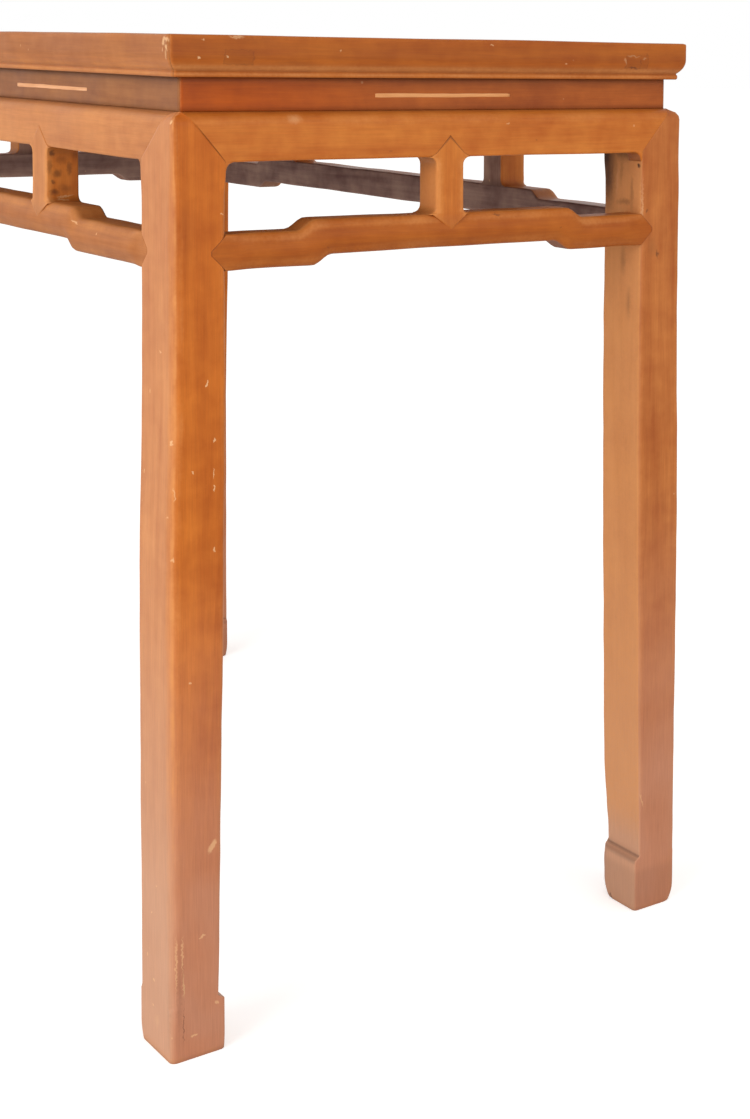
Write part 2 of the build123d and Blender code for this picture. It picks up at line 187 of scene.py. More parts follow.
def loopPoints(loop, lowA, highA, lowB, highB, radii):
    # the rounded rectangle between two corners, with one radius for each corner; radii has the four
    # corners last, and may differ from point to point
    radius = (np.asarray(radii) * loop["blend"]).sum(-1)
    a = lowA + radius + (highA - lowA - 2 * radius) * loop["shareA"] + radius * loop["turnA"]
    b = lowB + radius + (highB - lowB - 2 * radius) * loop["shareB"] + radius * loop["turnB"]
    return a, b


def place(along, outward, up, side):
    # a piece is made for the back, and its length and outward direction are turned to its side
    turned = {
        "back": (along, outward),
        "front": (along, -outward),
        "right": (outward, along),
        "left": (-outward, along),
    }[side]
    return np.stack([turned[0], turned[1], np.broadcast_to(up, along.shape)], -1)


def endRows(start, end, shares, widths):
    # rows from start to end: even shares, then a few last rows at set distances from the end
    length = end - start
    rows = [start + length * share for share in shares]
    rows += [end - np.minimum(width, length / 3) for width in widths]
    return np.stack(rows)


def bothWays(rows):
    # rows from the middle to the right end, mirrored to make the left half
    return np.concatenate([-rows[::-1], rows[1:]])


def addObject(name, data):
    new = bpy.data.objects.new(name, data)
    bpy.context.scene.collection.objects.link(new)
    return new


def skin(family, node, slot, rings, material, **tints):
    # Rings of points joined by quads, with both ends closed by a fan round the ring's middle; the faces are
    # turned over if the volume that they close comes out negative. The piece rides on the one body, takes the
    # material given and stands for its CAD node.
    # tints are attributes from 0 to 1: rubbed wear with painted highlights, dirt with painted shade, painted
    # sheen, and bare wood.
    count, around = rings.shape[:2]
    corners = np.concatenate([rings.reshape(-1, 3), rings[:1].mean(1), rings[-1:].mean(1)])
    index = np.arange(count * around).reshape(count, around)
    following = np.roll(index, -1, axis=1)
    quads = np.stack([index[:-1], following[:-1], following[1:], index[1:]], -1).reshape(-1, 4)
    firstFan = np.stack([following[0], index[0], np.full(around, count * around)], -1)
    lastFan = np.stack([index[-1], following[-1], np.full(around, count * around + 1)], -1)
    fans = np.concatenate([firstFan, lastFan])
    a, b, c = (corners[np.concatenate([quads[:, k], quads[:, m], fans[:, n]])]
               for k, m, n in ((0, 0, 0), (1, 2, 1), (2, 3, 2)))
    if (a * np.cross(b, c)).sum() < 0:
        quads, fans = quads[:, ::-1], fans[:, ::-1]
    name = family + "Skin" + node.split(family)[1]
    mesh = bpy.data.meshes.new(name)
    mesh.from_pydata(corners.tolist(), [], quads.tolist() + fans.tolist())
    mesh.polygons.foreach_set("use_smooth", np.ones(len(mesh.polygons), bool))
    for key in ("wear", "grime", "bleach", "raw"):
        values = np.broadcast_to(tints.get(key, 0.0), (count, around)).astype(float)
        values = np.concatenate([values.ravel(), values[:1].mean(1), values[-1:].mean(1)])
        layer = mesh.attributes.new(key, "FLOAT", "POINT")
        layer.data.foreach_set("value", np.clip(values, 0, 1).astype(np.float32))
    mesh.materials.append(material)
    mesh.update()
    piece = addObject(name, mesh)
    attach(piece, "root")
    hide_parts(node)


def linear(hexColour):
    # an sRGB hex value as a linear colour
    channels = [int(hexColour[k : k + 2], 16) / 255 for k in (1, 3, 5)]
    return [c / 12.92 if c <= 0.04045 else ((c + 0.055) / 1.055) ** 2.4 for c in channels] + [1.0]


def addNode(tree, kind, options, inputs, output=0):
    # adds a node: its settings, then its inputs in order or by key, as constants or as other nodes'
    # outputs; gives one of its outputs
    new = tree.nodes.new("ShaderNode" + kind)
    for key, value in options.items():
        setattr(new, key, value)
    for key, value in inputs.items() if isinstance(inputs, dict) else enumerate(inputs):
        if isinstance(value, bpy.types.NodeSocket):
            tree.links.new(value, new.inputs[key])
        else:
            new.inputs[key].default_value = value
    return new.outputs[output] if new.outputs else None


def newTree(owner):
    # empties the node tree of a material or world, and gives the call that adds a node to it
    owner.use_nodes = True
    owner.node_tree.nodes.clear()
    return partial(addNode, owner.node_tree)


# Settings that several nodes share. A Map Range node's inputs are the value, from two limits, to
# two limits; a Mix node's are 0 factor, 6 and 7 the colours.
times, plus, minus, largest, absolute, scaled, timesPlus = (
    {"operation": word}
    for word in ("MULTIPLY", "ADD", "SUBTRACT", "MAXIMUM", "ABSOLUTE", "SCALE", "MULTIPLY_ADD")
)
even, eased = {"interpolation_type": "LINEAR"}, {"interpolation_type": "SMOOTHSTEP"}
blend = {"data_type": "RGBA", "blend_type": "MIX"}
mixedColour = 2

# pattern sizes in metres across and along the grain, then the noise's detail and distortion
woodGrain = {
    "figure": (16 * mm, 300 * mm, 3.0, 0.9),  # growth bands in a planed face
    "streak": (6 * mm, 140 * mm, 2.0, 0.4),
    "fibre": (1.1 * mm, 30 * mm, 3.0, 0.0),  # fibre bundles, drawn coarser than real ones
    "cloud": (75 * mm, 4.0), "mottle": (17 * mm, 3.0),  # stain and lacquer taken up unevenly
    "chips": (3 * mm, 4.0), "speck": 26 * mm, "speckRadius": 0.8 * mm,
}

# Dark and light tones of the same lacquered wood: on the ends of the table, on its long sides, where a
# painted sheen makes them paler, and what the two become near the floor
woodTones = {
    "honey": (("#AE581A", "#CC7930"), ("#AE6939", "#C8834D"), ("#C08264", "#C69374")),
    "leg": (("#A85010", "#CB7024"), ("#B57044", "#CC8957"), ("#BD8062", "#C69374")),
    "farLeg": (("#A05222", "#C07338"), ("#B57044", "#CC8957"), ("#BD8062", "#C69374")),
    "deep": (("#984810", "#B4611C"), ("#9B5726", "#B6713B"), ("#A9683E", "#BC8053")),
    "waist": (("#943C04", "#BA560A"), ("#804A26", "#A16739"), ("#8F5A3C", "#A56D45")),
    "panel": (("#94501F", "#C57A3C"), ("#94501F", "#C57A3C"), ("#B0632A", "#B0632A")),
}
woodLook = {
    "toneShares": (0.34, 0.13, 0.3, 0.23),  # growth bands, streaks, clouds and mottle
    "toneRange": (0.37, 0.63), "shade": (0.3, 0.7, 0.93, 1.05),
    "fadeRange": (0.46, 0.04), "fadePatches": (0.3, 0.65, 0.75, 1.1), "dirtAndShadePatches": (0.3, 0.6, 0.75, 1.1),
    "chipShare": 0.32, "rubAndGlintRange": (0.38, 1.25), "rubAndGlintShare": 0.72,
    "speckEdge": 1.8, "speckChoice": 0.62, "speckShare": 0.3, "raggedness": 5 * mm,
    "roughness": (0.3, 0.7, 0.36, 0.5), "rubAndGlintRoughness": 0.12, "bareRoughness": 0.3,
    "fibreRelief": 0.35, "rubAndGlintRelief": 0.5, "bumpStrength": 0.5, "bumpDistance": 0.2 * mm,
    "ior": 1.38, "specular": 0.25, "bare": ("#5F413C", "#9A7C6E"),
    # the pale of rubbed wear and painted highlights, a paler nick, and the dark of dirt and painted shade
    "wornColour": "#DA9253", "nickColour": "#E6B583", "soilColour": "#38221A",
}
markLook = {"depth": 8 * mm, "reach": 1.2, "smallArea": 30, "paleClear": 0.6, "darkClear": 0.2}
tenonLook = {"inside": (1.0, 0.93, 0.0, 0.16), "border": (0.97, 0.045), "borderShare": 0.3}
noMarks = {}


def addMarks(add, place3, marks, clear):
    # Each mark is an ellipse on a face. A small mark keeps its strength out to the share clear of its
    # size, and falls off from there; a large one falls off from its middle. The strongest counts.
    s, total = markLook, 0.0
    for face, listed in marks.items():
        plane = {"end": halfLength, "side": strutFace, "inner": innerDepth, "long": -halfDepth}[face]
        for along, height, halfWidth, halfHeight, strength, *tilt in listed:
            centre, scale, turn = (
                row if face in ("end", "side") else (row[1], row[0], row[2])
                for row in ((plane, along * mm, height * mm), (s["depth"], halfWidth * mm, halfHeight * mm),
                            (math.radians(sum(tilt)), 0, 0))
            )
            local = add("Mapping", {"vector_type": "TEXTURE"},
                        {"Vector": place3, "Location": centre, "Rotation": turn, "Scale": scale})
            distance = add("VectorMath", {"operation": "LENGTH"}, (local,), "Value")
            solid = clear if halfWidth * halfHeight < s["smallArea"] else 0.0
            spot = add("MapRange", eased, (distance, s["reach"], solid, 0.0, strength))
            total = add("Math", largest, (spot, total))
    return total


def makeWood(name, grainAxis, tones, paleMarks=noMarks, darkMarks=noMarks, tenonEnds=False):
    # Satin lacquer over a plain-grained hardwood: broad soft bands and fine fibres along the member, paler
    # where handling has thinned the lacquer and where highlights are painted, a painted sheen on the faces
    # along the table, dull dark soiling and painted shade in the corners.
    s = woodLook
    material = bpy.data.materials.new(name)
    add = newTree(material)
    place3 = add("TexCoord", {}, {}, "Object")
    noises = []
    for key in ("figure", "streak", "fibre"):
        across, along, detail, distortion = woodGrain[key]
        scale = [1 / along if axis == grainAxis else 1 / across for axis in "xyz"]
        vector = add("Mapping", {}, {"Vector": place3, "Scale": scale})
        noises.append(add("TexNoise", {}, {"Vector": vector, "Scale": 1.0, "Detail": detail,
                                           "Roughness": 0.55, "Distortion": distortion}))
    for key in ("cloud", "mottle", "chips"):
        size, detail = woodGrain[key]
        noises.append(add("TexNoise", {}, {"Vector": place3, "Scale": 1 / size, "Detail": detail}))
    figure, streak, fibre, cloud, mottle, chips = noises
    wear, grime, bleach, raw = (
        add("Attribute", {"attribute_name": key}, {}, "Fac") for key in ("wear", "grime", "bleach", "raw")
    )

    # the tone, and the colours that it gives to each kind of face
    tone = 0.0
    for noise, share in zip((figure, streak, cloud, mottle), s["toneShares"]):
        tone = add("Math", timesPlus, (noise, share, tone))
    tone = add("MapRange", even, (tone, *s["toneRange"]))
    colour, longFace, faded, bare = (
        add("Mix", blend, {0: by, 6: linear(dark), 7: linear(light)}, mixedColour)
        for by, (dark, light) in zip((tone, tone, bleach, tone), (*tones, s["bare"]))
    )

    # a painted sheen on the faces along the table; lacquer is bleached and rubbed away towards the floor, and
    # faces inside the frame never had any
    height = add("SeparateXYZ", {}, (place3,), "Z")
    fade = add("MapRange", eased, (height, *s["fadeRange"]))
    patches = add("MapRange", even, (cloud, *s["fadePatches"]))
    fade = add("Math", {**times, "use_clamp": True}, (fade, patches))
    for share, over in ((bleach, longFace), (fade, faded), (raw, bare)):
        colour = add("Mix", blend, {0: share, 6: colour, 7: over}, mixedColour)
    shade = add("MapRange", even, (fibre, *s["shade"]))
    colour = add("VectorMath", scaled, {0: colour, "Scale": shade})

    # rubbed edges and painted highlights, with a ragged limit from a fine noise
    uneven = add("Math", times, (add("Math", plus, (chips, cloud)), s["chipShare"]))
    rubAndGlint = add("MapRange", eased, (add("Math", plus, (wear, uneven)), *s["rubAndGlintRange"]))
    softened = add("Math", times, (rubAndGlint, s["rubAndGlintShare"]))

    # small pale nicks here and there, and the marks that have a place
    specks = add("TexVoronoi", {}, {"Vector": place3, "Scale": 1 / woodGrain["speck"]})
    size = woodGrain["speckRadius"] / woodGrain["speck"]
    dots = add("MapRange", eased, (specks, size * s["speckEdge"], size))
    chosen = add("Math", {"operation": "GREATER_THAN"}, (specks.node.outputs["Color"], s["speckChoice"]))
    dots = add("Math", times, (dots, chosen))
    ragged = add("VectorMath", minus, (chips.node.outputs["Color"], (0.5, 0.5, 0.5)))
    ragged = add("VectorMath", scaled, {0: ragged, "Scale": s["raggedness"]})
    ragged = add("VectorMath", plus, (place3, ragged))
    nicks = add("Math", times, (dots, s["speckShare"]))
    nicks = add("Math", largest, (nicks, addMarks(add, ragged, paleMarks, markLook["paleClear"])))

    # soiling that never gets wiped, with painted shade in corners, creases and under the frame, cracks and
    # knots
    dirtAndShadeShare = add("Math", times, (grime, add("MapRange", even, (cloud, *s["dirtAndShadePatches"]))))
    dirtAndShadeShare = add("Math", largest, (dirtAndShadeShare, addMarks(add, ragged, darkMarks, markLook["darkClear"])))
    if tenonEnds:
        # a square distance from the middle of each tenon's end, the same for all four
        offset = add("VectorMath", absolute, (ragged,))
        offset = add("VectorMath", minus, (offset, railShape["tenonMiddle"]))
        offset = add("VectorMath", {"operation": "DIVIDE"}, (offset, railShape["tenonHalf"]))
        apart = add("SeparateXYZ", {}, (add("VectorMath", absolute, (offset,)),))
        square = reduce(lambda a, b: add("Math", largest, (a, b)), apart.node.outputs)
        border = add("Math", {"operation": "COMPARE"}, (square, *tenonLook["border"]))
        border = add("Math", times, (border, tenonLook["borderShare"]))
        for tint in (add("MapRange", eased, (square, *tenonLook["inside"])), border):
            dirtAndShadeShare = add("Math", largest, (dirtAndShadeShare, tint))
    for share, key in ((softened, "wornColour"), (nicks, "nickColour"), (dirtAndShadeShare, "soilColour")):
        colour = add("Mix", blend, {0: share, 6: colour, 7: linear(s[key])}, mixedColour)

    gloss = add("MapRange", even, (cloud, *s["roughness"]))
    for tint, share in ((rubAndGlint, s["rubAndGlintRoughness"]), (raw, s["bareRoughness"])):
        gloss = add("Math", timesPlus, (tint, share, gloss))
    relief = add("Math", times, (fibre, s["fibreRelief"]))
    for tint in (nicks, add("Math", times, (rubAndGlint, s["rubAndGlintRelief"]))):
        relief = add("Math", minus, (relief, tint))
    bump = add("Bump", {}, {"Strength": s["bumpStrength"], "Distance": s["bumpDistance"], "Height": relief})
    shader = add("BsdfPrincipled", {}, {"Base Color": colour, "Roughness": gloss, "Normal": bump,
                                        "IOR": s["ior"], "Specular IOR Level": s["specular"]})
    add("OutputMaterial", {}, {"Surface": shader})
    return material


# Marks by face: place along the face, height, half width and half height in mm, strength, and for some a
# tilt in degrees. end is the right end of the table, long its front, inner the front of the back legs
# and side the right side of the struts.
nearPale = {
    "end": [
        (-251.5, 92, 0.8, 15, 0.45), (-256.5, 84, 0.8, 24, 0.4), (-228, 566, 0.9, 3, 0.9, -20),
        (-222, 519, 0.7, 2, 0.8), (-222.5, 491, 0.7, 4.5, 0.8), (-222, 479, 0.7, 3, 0.8),
        (-222.4, 428, 0.7, 2.6, 0.7), (-241, 494, 1.1, 1.1, 0.8), (-244, 320, 1.2, 1.2, 0.7),
        (-225, 178, 2.6, 6.5, 0.55, -28), (-234, 103, 3.2, 0.8, 0.55, 20), (-241, 20, 3.6, 1, 0.6, 8),
        (-221, 42, 1.6, 2.2, 0.5, 30), (-250.5, 66, 0.7, 11, 0.6), (-256, 477, 0.8, 5.5, 0.5),
        (-257, 520, 0.9, 2.5, 0.8), (-260, 458, 0.9, 3, 0.7), (-257, 424, 0.8, 2.2, 0.6),
        (-214.6, 704, 1.2, 0.9, 0.6),
    ],
    "long": [
        (498, 143, 1.8, 0.8, 0.7, -10), (483, 557, 0.9, 2.2, 0.6), (488, 117, 1.1, 1.1, 0.6),
        (479, 78, 1.2, 1.6, 0.7), (492, 60, 1.2, 1.2, 0.7), (490, 38, 1.4, 1.2, 0.6),
        (498, 27, 6, 8, 0.3, 25), (503, 592, 2.2, 0.8, 0.6, 10), (474, 489, 0.8, 1.8, 0.6),
        (524, 779, 1.4, 2.2, 0.8),
    ],
}
nearDark = {
    "end": [
        (-254, 60, 3, 50, 0.2), (-247, 690, 12, 40, 0.1), (-250.5, 31, 0.6, 17, 0.55),
        (-250.5, 70, 0.5, 22, 0.25), (-254.5, 44, 3, 11, 0.22),
    ],
    "long": [(521, 40, 4, 42, 0.16)],
}
farPale = {
    "end": [(212.5, 690, 1.3, 34, 0.4), (221, 110, 0.8, 7, 0.4, 14), (212, 62, 1.6, 0.9, 0.5)],
    "inner": [(487, 715, 3, 20, 0.2, 4), (470, 97, 8.5, 1, 0.6, -4)],
}
# on the inner face, the large marks at the top are painted shade with some dirt under the apron and the wide
# one near the foot is painted shade; the rest are dots and streaks
farDark = {
    "inner": [
        (522, 733, 2.6, 2.8, 0.95), (468, 745, 23, 60, 0.97), (472, 722, 15, 42, 0.85),
        (496, 752, 30, 20, 0.9), (494, 728, 5, 22, 0.3, 6), (511, 708, 4, 24, 0.34),
        (500, 697, 18, 4, 0.4, -4), (508, 600, 5, 18, 0.3), (498, 640, 6, 16, 0.26),
        (466, 30, 18, 38, 0.45),
    ],
    "end": [
        (230, 648, 2.2, 5, 0.55, 10), (224, 655, 7, 12, 0.22), (217, 690, 1.6, 2.6, 0.5),
        (209, 662, 1.4, 3.2, 0.45),
    ],
}
railPale = {"end": [
    (-236, 831, 1.3, 1.3, 0.8), (-211, 832, 1.4, 1.1, 0.8), (-232, 845, 1.1, 0.9, 0.7),
    (-203, 848, 8, 1.4, 0.5), (40, 845, 2.4, 0.8, 0.5), (120, 829, 1.3, 1.0, 0.5),
    (-110, 838, 1.1, 1.1, 0.5), (187, 832, 1.1, 4, 0.3, 24), (196, 837, 8, 0.9, 0.3, -4),
    (209, 835, 3, 0.8, 0.26, 10),
]}
railDark = {"end": [
    (205, 831, 0.8, 8, 0.55), (197, 826, 8, 1.3, 0.62, -8), (190, 836, 0.8, 6, 0.4, 10),
    (212, 838, 1.4, 3, 0.4), (-187, 836, 6, 8, 0.2, 30), (-120, 834, 30, 5, 0.18, 2),
    (60, 842, 40, 4, 0.16), (-236, 841, 26, 9, 0.2), (-190, 846, 40, 4, 0.22), (-150, 828, 25, 4, 0.15),
    (0, 836, 60, 3, 0.12), (150, 843, 50, 5, 0.12), (49, 693, 5, 0.8, 0.5, -12), (-120, 672, 2.4, 1.0, 0.4),
    (117, 679, 1.6, 1.0, 0.4),
]}
apronPale = {"end": [(-150, 781, 8, 5, 0.3), (60, 775, 2, 0.8, 0.36)]}
apronDark = {"end": [(90, 760, 1.2, 1.0, 0.4), (-60, 752, 1.4, 1.0, 0.3)]}
frontPale = {"long": [
    (322, 683, 7, 0.7, 0.6, 10), (374, 677, 1.2, 1.6, 0.6), (521, 843, 2.6, 4.2, 0.7, 20),
    (526, 839, 2.2, 3.4, 0.8, -30), (524, 846, 4.5, 1.6, 0.7), (527, 845, 3, 3, 0.7),
    (525, 834, 1.6, 5, 0.45, 8), (519, 837, 1.2, 1.8, 0.6), (531, 845, 1.6, 2.6, 0.7, 30),
    (240, 690, 3, 0.8, 0.4),
]}
strutPale = {"side": [(-240, 701, 8, 1.1, 0.5, 6), (-243, 698, 6, 0.8, 0.45, -8)]}
strutDark = {"side": [
    (-252, 741, 4, 5, 0.75), (-247, 722, 5, 4.5, 0.55, 20), (-250, 705, 5, 4, 0.6), (-236, 726, 3, 8, 0.45),
    (-243, 735, 8, 6, 0.4), (-254, 728, 3, 9, 0.4), (-240, 708, 8, 5, 0.35, -15), (-231, 740, 4, 9, 0.5),
    (-251, 714, 2, 2.5, 0.6),
]}

railShape = settings(
    # through tenons: middle and half size of the end that shows
    {"tenonMiddle": (topHalfLength, topHalfDepth - 60 * mm, tableHeight - 18.5 * mm),
     "tenonHalf": (9 * mm, 13 * mm, 6 * mm),
     "wear": {"topEdge": 0.4, "ovolo": 0.45, "bead": 0.55, "corner": 0.5},
     "grime": {"underside": 0.6, "groove": 0.3, "upright": 0.1, "joint": 0.3},
     "ovoloBleach": 0.9, "backBleach": 0.5},
    width=84, topRadius=2.5, upright=16, ovoloLow=29.3, inset=6.5, beadTop=30, beadBulge=1.2, beadBack=0.5,
    corner=4, spacing=8, waver=0.3, hollow=0.4,
)

honey, deep, waistTones, legTones = (woodTones[key] for key in ("honey", "deep", "waist", "leg"))
apronWood = {
    "long": makeWood("lacqueredElmApronLong", "x", honey, frontPale),
    "end": makeWood("lacqueredElmApronEnd", "y", honey, apronPale, apronDark),
}
railWood = {
    "long": makeWood("lacqueredElmRailLong", "x", deep, frontPale),
    "end": makeWood("lacqueredElmRailEnd", "y", deep, railPale, railDark, True),
}
waistWood = {
    "long": makeWood("darkLacqueredElmLong", "x", waistTones),
    "end": makeWood("darkLacqueredElmEnd", "y", waistTones),
}
plainLegWood = makeWood("lacqueredElmLeg", "z", legTones)
legWood = {
    "front_right": makeWood("lacqueredElmLegNear", "z", legTones, nearPale, nearDark),
    "back_right": makeWood("lacqueredElmLegFar", "z", woodTones["farLeg"], farPale, farDark),
    "front_left": plainLegWood, "back_left": plainLegWood,
}
strutWood = makeWood("lacqueredElmStrut", "z", honey, strutPale, strutDark)
panelWood = makeWood("lacqueredElmPanel", "x", woodTones["panel"])

rawLook = {
    "across": 1.8 * mm, "along": 40 * mm, "detail": 4.0, "noise": 0.6, "range": (0.3, 0.7),
    "moreRoughness": 0.15, "ior": 1.4, "bumpStrength": 0.6, "bumpDistance": 0.3 * mm,
}


def makeRawWood(name, hexLight, hexDark, grainAxis, roughness):
    # bare wood with no lacquer: dull, with fibres and darker pores along the grain
    s = rawLook
    material = bpy.data.materials.new(name)
    add = newTree(material)
    scale = [1 / s["along"] if axis == grainAxis else 1 / s["across"] for axis in "xyz"]
    vector = add("Mapping", {}, {"Vector": add("TexCoord", {}, {}, "Object"), "Scale": scale})
    fibre = add("TexNoise", {}, {"Vector": vector, "Scale": 1.0, "Detail": s["detail"],
                                 "Roughness": s["noise"]})
    tone = add("MapRange", even, (fibre, *s["range"]))
    colour = add("Mix", blend, {0: tone, 6: linear(hexDark), 7: linear(hexLight)}, mixedColour)
    bump = add("Bump", {}, {"Strength": s["bumpStrength"], "Distance": s["bumpDistance"], "Height": fibre})
    gloss = add("MapRange", even, (tone, 0.0, 1.0, roughness, roughness + s["moreRoughness"]))
    shader = add("BsdfPrincipled", {}, {"Base Color": colour, "Roughness": gloss, "Normal": bump,
                                        "IOR": s["ior"]})
    add("OutputMaterial", {}, {"Surface": shader})
    return material


stripWood = {
    "long": makeRawWood("boxwoodLong", "#E9AF82", "#CF8B57", "x", 0.5),
    "end": makeRawWood("boxwoodEnd", "#E6A56C", "#CE8546", "y", 0.5),
}
battenWood = makeRawWood("bareElmBatten", "#7A5236", "#4E3324", "y", 0.65)
print("materials made")

# legs
# rubbed wear with painted highlights, and dirt with painted shade: how strong each gets, by place; for edges,
# by the corners of roundedLoop
legShape = settings(
    {"arcPoints": 8, "upperRows": 22, "unevenness": 0.12, "leastEasing": 0.08, "backOpening": 0.25,
     "wear": {"edges": (0.25, 0.3, 0.3, 0.15), "sole": 0.42, "ridge": 0.75, "inside": 0.62},
     "grime": {"inside": 0.12, "hoof": 0.5, "slope": 0.3, "backFoot": 0.14, "sole": 0.25, "cut": 0.5}},
    spacing=3.5, station=4, upperStart=715, postInset=0.3, postRadius=2,
    splayStart=650, splayEnd=330, taperStart=520, taperX=1.5, bowX=0.3, taperY=8, bowY=0.5,
    hoofSlope=4, hoofJutX=2, hoofJutY=5.4, ankleTop=150, ankleFade=90, footRound=1.0, wornHeight=18,
    # the leg wavers below looseTop, and comes square to the aprons within a blend
    looseTop=730, blend=25, waver=0.22, ledgeEnd=0.5, ledgeLong=0.15,
    # corner radii in roundedLoop's order: end face to inner side, ridge, long face to inner side, inner
    shaftRadii=np.array([4, 8, 2, 4]), ankleRadii=np.array([2, 7, 1.5, 12]),
    hoofRadii=np.array([2, 5, 1.5, 18]), wornRadii=np.array([2, 1, 6, 9]),
)


def makeLeg(name, seed, lean, taper, ridge, hoof, worn):
    s = legShape
    signX, signY = (1 if word in name else -1 for word in ("right", "back"))
    loop = roundedLoop(halfLength - innerLength, halfDepth - innerDepth, s["spacing"], s["arcPoints"], 3 * mm)
    turnA, turnB = loop["turnA"], loop["turnB"]
    # stations: the rounded foot, the hoof, its slope, the shaft, then the part that ends at the mitres
    heights = np.concatenate([
        s["footRound"] * (1 - np.cos(np.linspace(0, math.pi / 2, 6))),
        np.linspace(4 * mm, hoof - s["hoofSlope"] - 1 * mm, 16),
        np.linspace(hoof - s["hoofSlope"], hoof + 0.5 * mm, 7),
        np.arange(hoof + 2 * mm, s["upperStart"], s["station"]),
    ])
    around = len(turnA)

    def innerSetback(height, taper, bow, jut):
        # a slight bow down to the ankle, taper * t - 4 bow * t(1 - t), then the hoof juts back out
        t = np.clip((s["taperStart"] - height) / (s["taperStart"] - hoof), 0, 1)
        toHoof = np.clip((hoof - height) / s["hoofSlope"], 0, 1)
        return taper * t - 4 * bow * t * (1 - t) - jut * toHoof

    def section(height):
        t = np.clip((s["splayStart"] - height) / (s["splayStart"] - s["splayEnd"]), 0, 1)
        out = lean * np.where(t < 0.5, 2 * t * t, 1 - 2 * (1 - t) ** 2)  # two tangent arcs
        inset = shoulderInset(height) + roundInset(height, s["footRound"])
        loose = smooth((s["looseTop"] - height) / s["blend"])  # 0 where the aprons have to meet the leg
        waver = [s["waver"] * drift(height, seed + k, 0.21) * loose for k in range(4)]
        toAnkle = smooth((s["ankleTop"] - height) / s["ankleFade"])[..., None]
        toHoof = smooth((hoof - height) / s["hoofSlope"])[..., None]
        radii = s["shaftRadii"] + (s["ankleRadii"] - s["shaftRadii"]) * toAnkle
        radii = radii + (s["hoofRadii"] - s["ankleRadii"]) * toHoof
        uneven = np.stack([drift(height, seed + 5 + k, 0.08) for k in range(4)], -1)
        radii = radii * (1 + s["unevenness"] * uneven * loose[..., None])
        # the ridge has one radius for all legs where the aprons meet it, the other edges go sharp there
        mitred = smooth((height - s["upperStart"]) / s["blend"])
        radii[..., 1] = radii[..., 1] * ridge * (1 - mitred) + cornerRadius(height) * mitred
        radii[..., (0, 2, 3)] *= 1 - 0.9 * mitred[..., None]
        wornShare = np.array([1, worn, 1, 1]) * np.clip(1 - height / s["wornHeight"], 0, 1)[..., None] ** 2
        radii = radii + s["wornRadii"] * wornShare
        lowA = innerLength + innerSetback(height, s["taperX"], s["bowX"], s["hoofJutX"]) + waver[0]
        lowB = innerDepth + innerSetback(height, s["taperY"] * taper, s["bowY"], s["hoofJutY"]) + waver[2]
        foot = roundInset(height, s["footRound"])
        return loopPoints(loop, lowA + foot, halfLength - inset + waver[1], lowB + foot,
                          halfDepth + out - inset + waver[3], radii)

    def mitreHeight(a, b):
        # the lower of the two mitre lines that rise from the opening's corner to the waist's corner
        shareX = (a - innerLength) / (halfLength - waistRecess - innerLength)
        shareY = (b - innerDepth) / (halfDepth - waistRecess - innerDepth)
        return apronBottom + np.clip(np.minimum(shareX, shareY), 0, 1) * (apronTop - apronBottom)

    lower = np.broadcast_to(heights[:, None], (len(heights), around))
    below, above = np.full((1, around), apronBottom), np.full((1, around), apronTop)
    for halving in range(20):  # finds the height at which each line up the leg meets the mitre
        top = (below + above) / 2
        under = mitreHeight(*section(top)) > top
        below, above = np.where(under, top, below), np.where(under, above, top)
    upper = s["upperStart"] + (top - s["upperStart"]) * np.linspace(0, 1, s["upperRows"])[:, None]
    height = np.concatenate([lower, upper])
    a, b = section(height)
    # the cut along the mitres, then the post that goes on up inside the aprons
    postA, postB = loopPoints(
        loop, innerLength + s["postInset"], halfLength - postBack, innerDepth + s["postInset"],
        halfDepth - postBack, np.full(4, s["postRadius"]),
    )
    # the edge of the cut is eased, except under the shoulder, and more on the front legs
    easing = s["leastEasing"] + openShare(top)
    opened = 1.0 if signY < 0 else s["backOpening"]
    easedA = a[-1:] - s["ledgeEnd"] * opened * easing * np.sign(turnA) * (np.abs(turnA) > 0.3)
    easedB = b[-1:] - s["ledgeLong"] * easing * np.sign(turnB) * (np.abs(turnB) > 0.3)
    a = np.concatenate([a, easedA, postA[None], postA[None]])
    b = np.concatenate([b, easedB, postB[None], postB[None]])
    height = np.concatenate([height, top + 0.2 * mm, top + 0.3 * mm, np.full((1, around), topUnderside)])
    rings = np.stack([signX * a, signY * b, height], -1)

    rubAndGlint, dirtAndShadeLevels = s["wear"], s["grime"]
    wear = loop["near"] @ rubAndGlint["edges"] * (0.75 + 0.4 * drift(height, seed + 9, 0.13))
    wear = wear * (0.4 + 0.6 * ramp(height, 40, 200))
    soleWear = rubAndGlint["sole"] * ramp(height, 9, -8) * (0.7 + 0.5 * drift(loop["shareB"], seed + 4, 0.7))
    # the ridge has a thin pale line, partly rubbed and partly a painted highlight, and the inner faces are
    # lightened all over with painted light
    ridgeRubAndHighlight = rubAndGlint["ridge"] * bell(turnA - turnB, 0.05, 0.3) * (turnA + turnB > 1)
    ridgeRubAndHighlight = ridgeRubAndHighlight * (0.8 + 0.35 * drift(height, seed + 12, 0.05)) * ramp(height, 90, 200)
    innerPaintedLight = rubAndGlint["inside"] * (turnB < -0.9) * ramp(height, 45, 60)
    inward = np.maximum((turnA < -0.9) * (1 - loop["shareA"]), (turnB < -0.9) * (1 - loop["shareB"]))
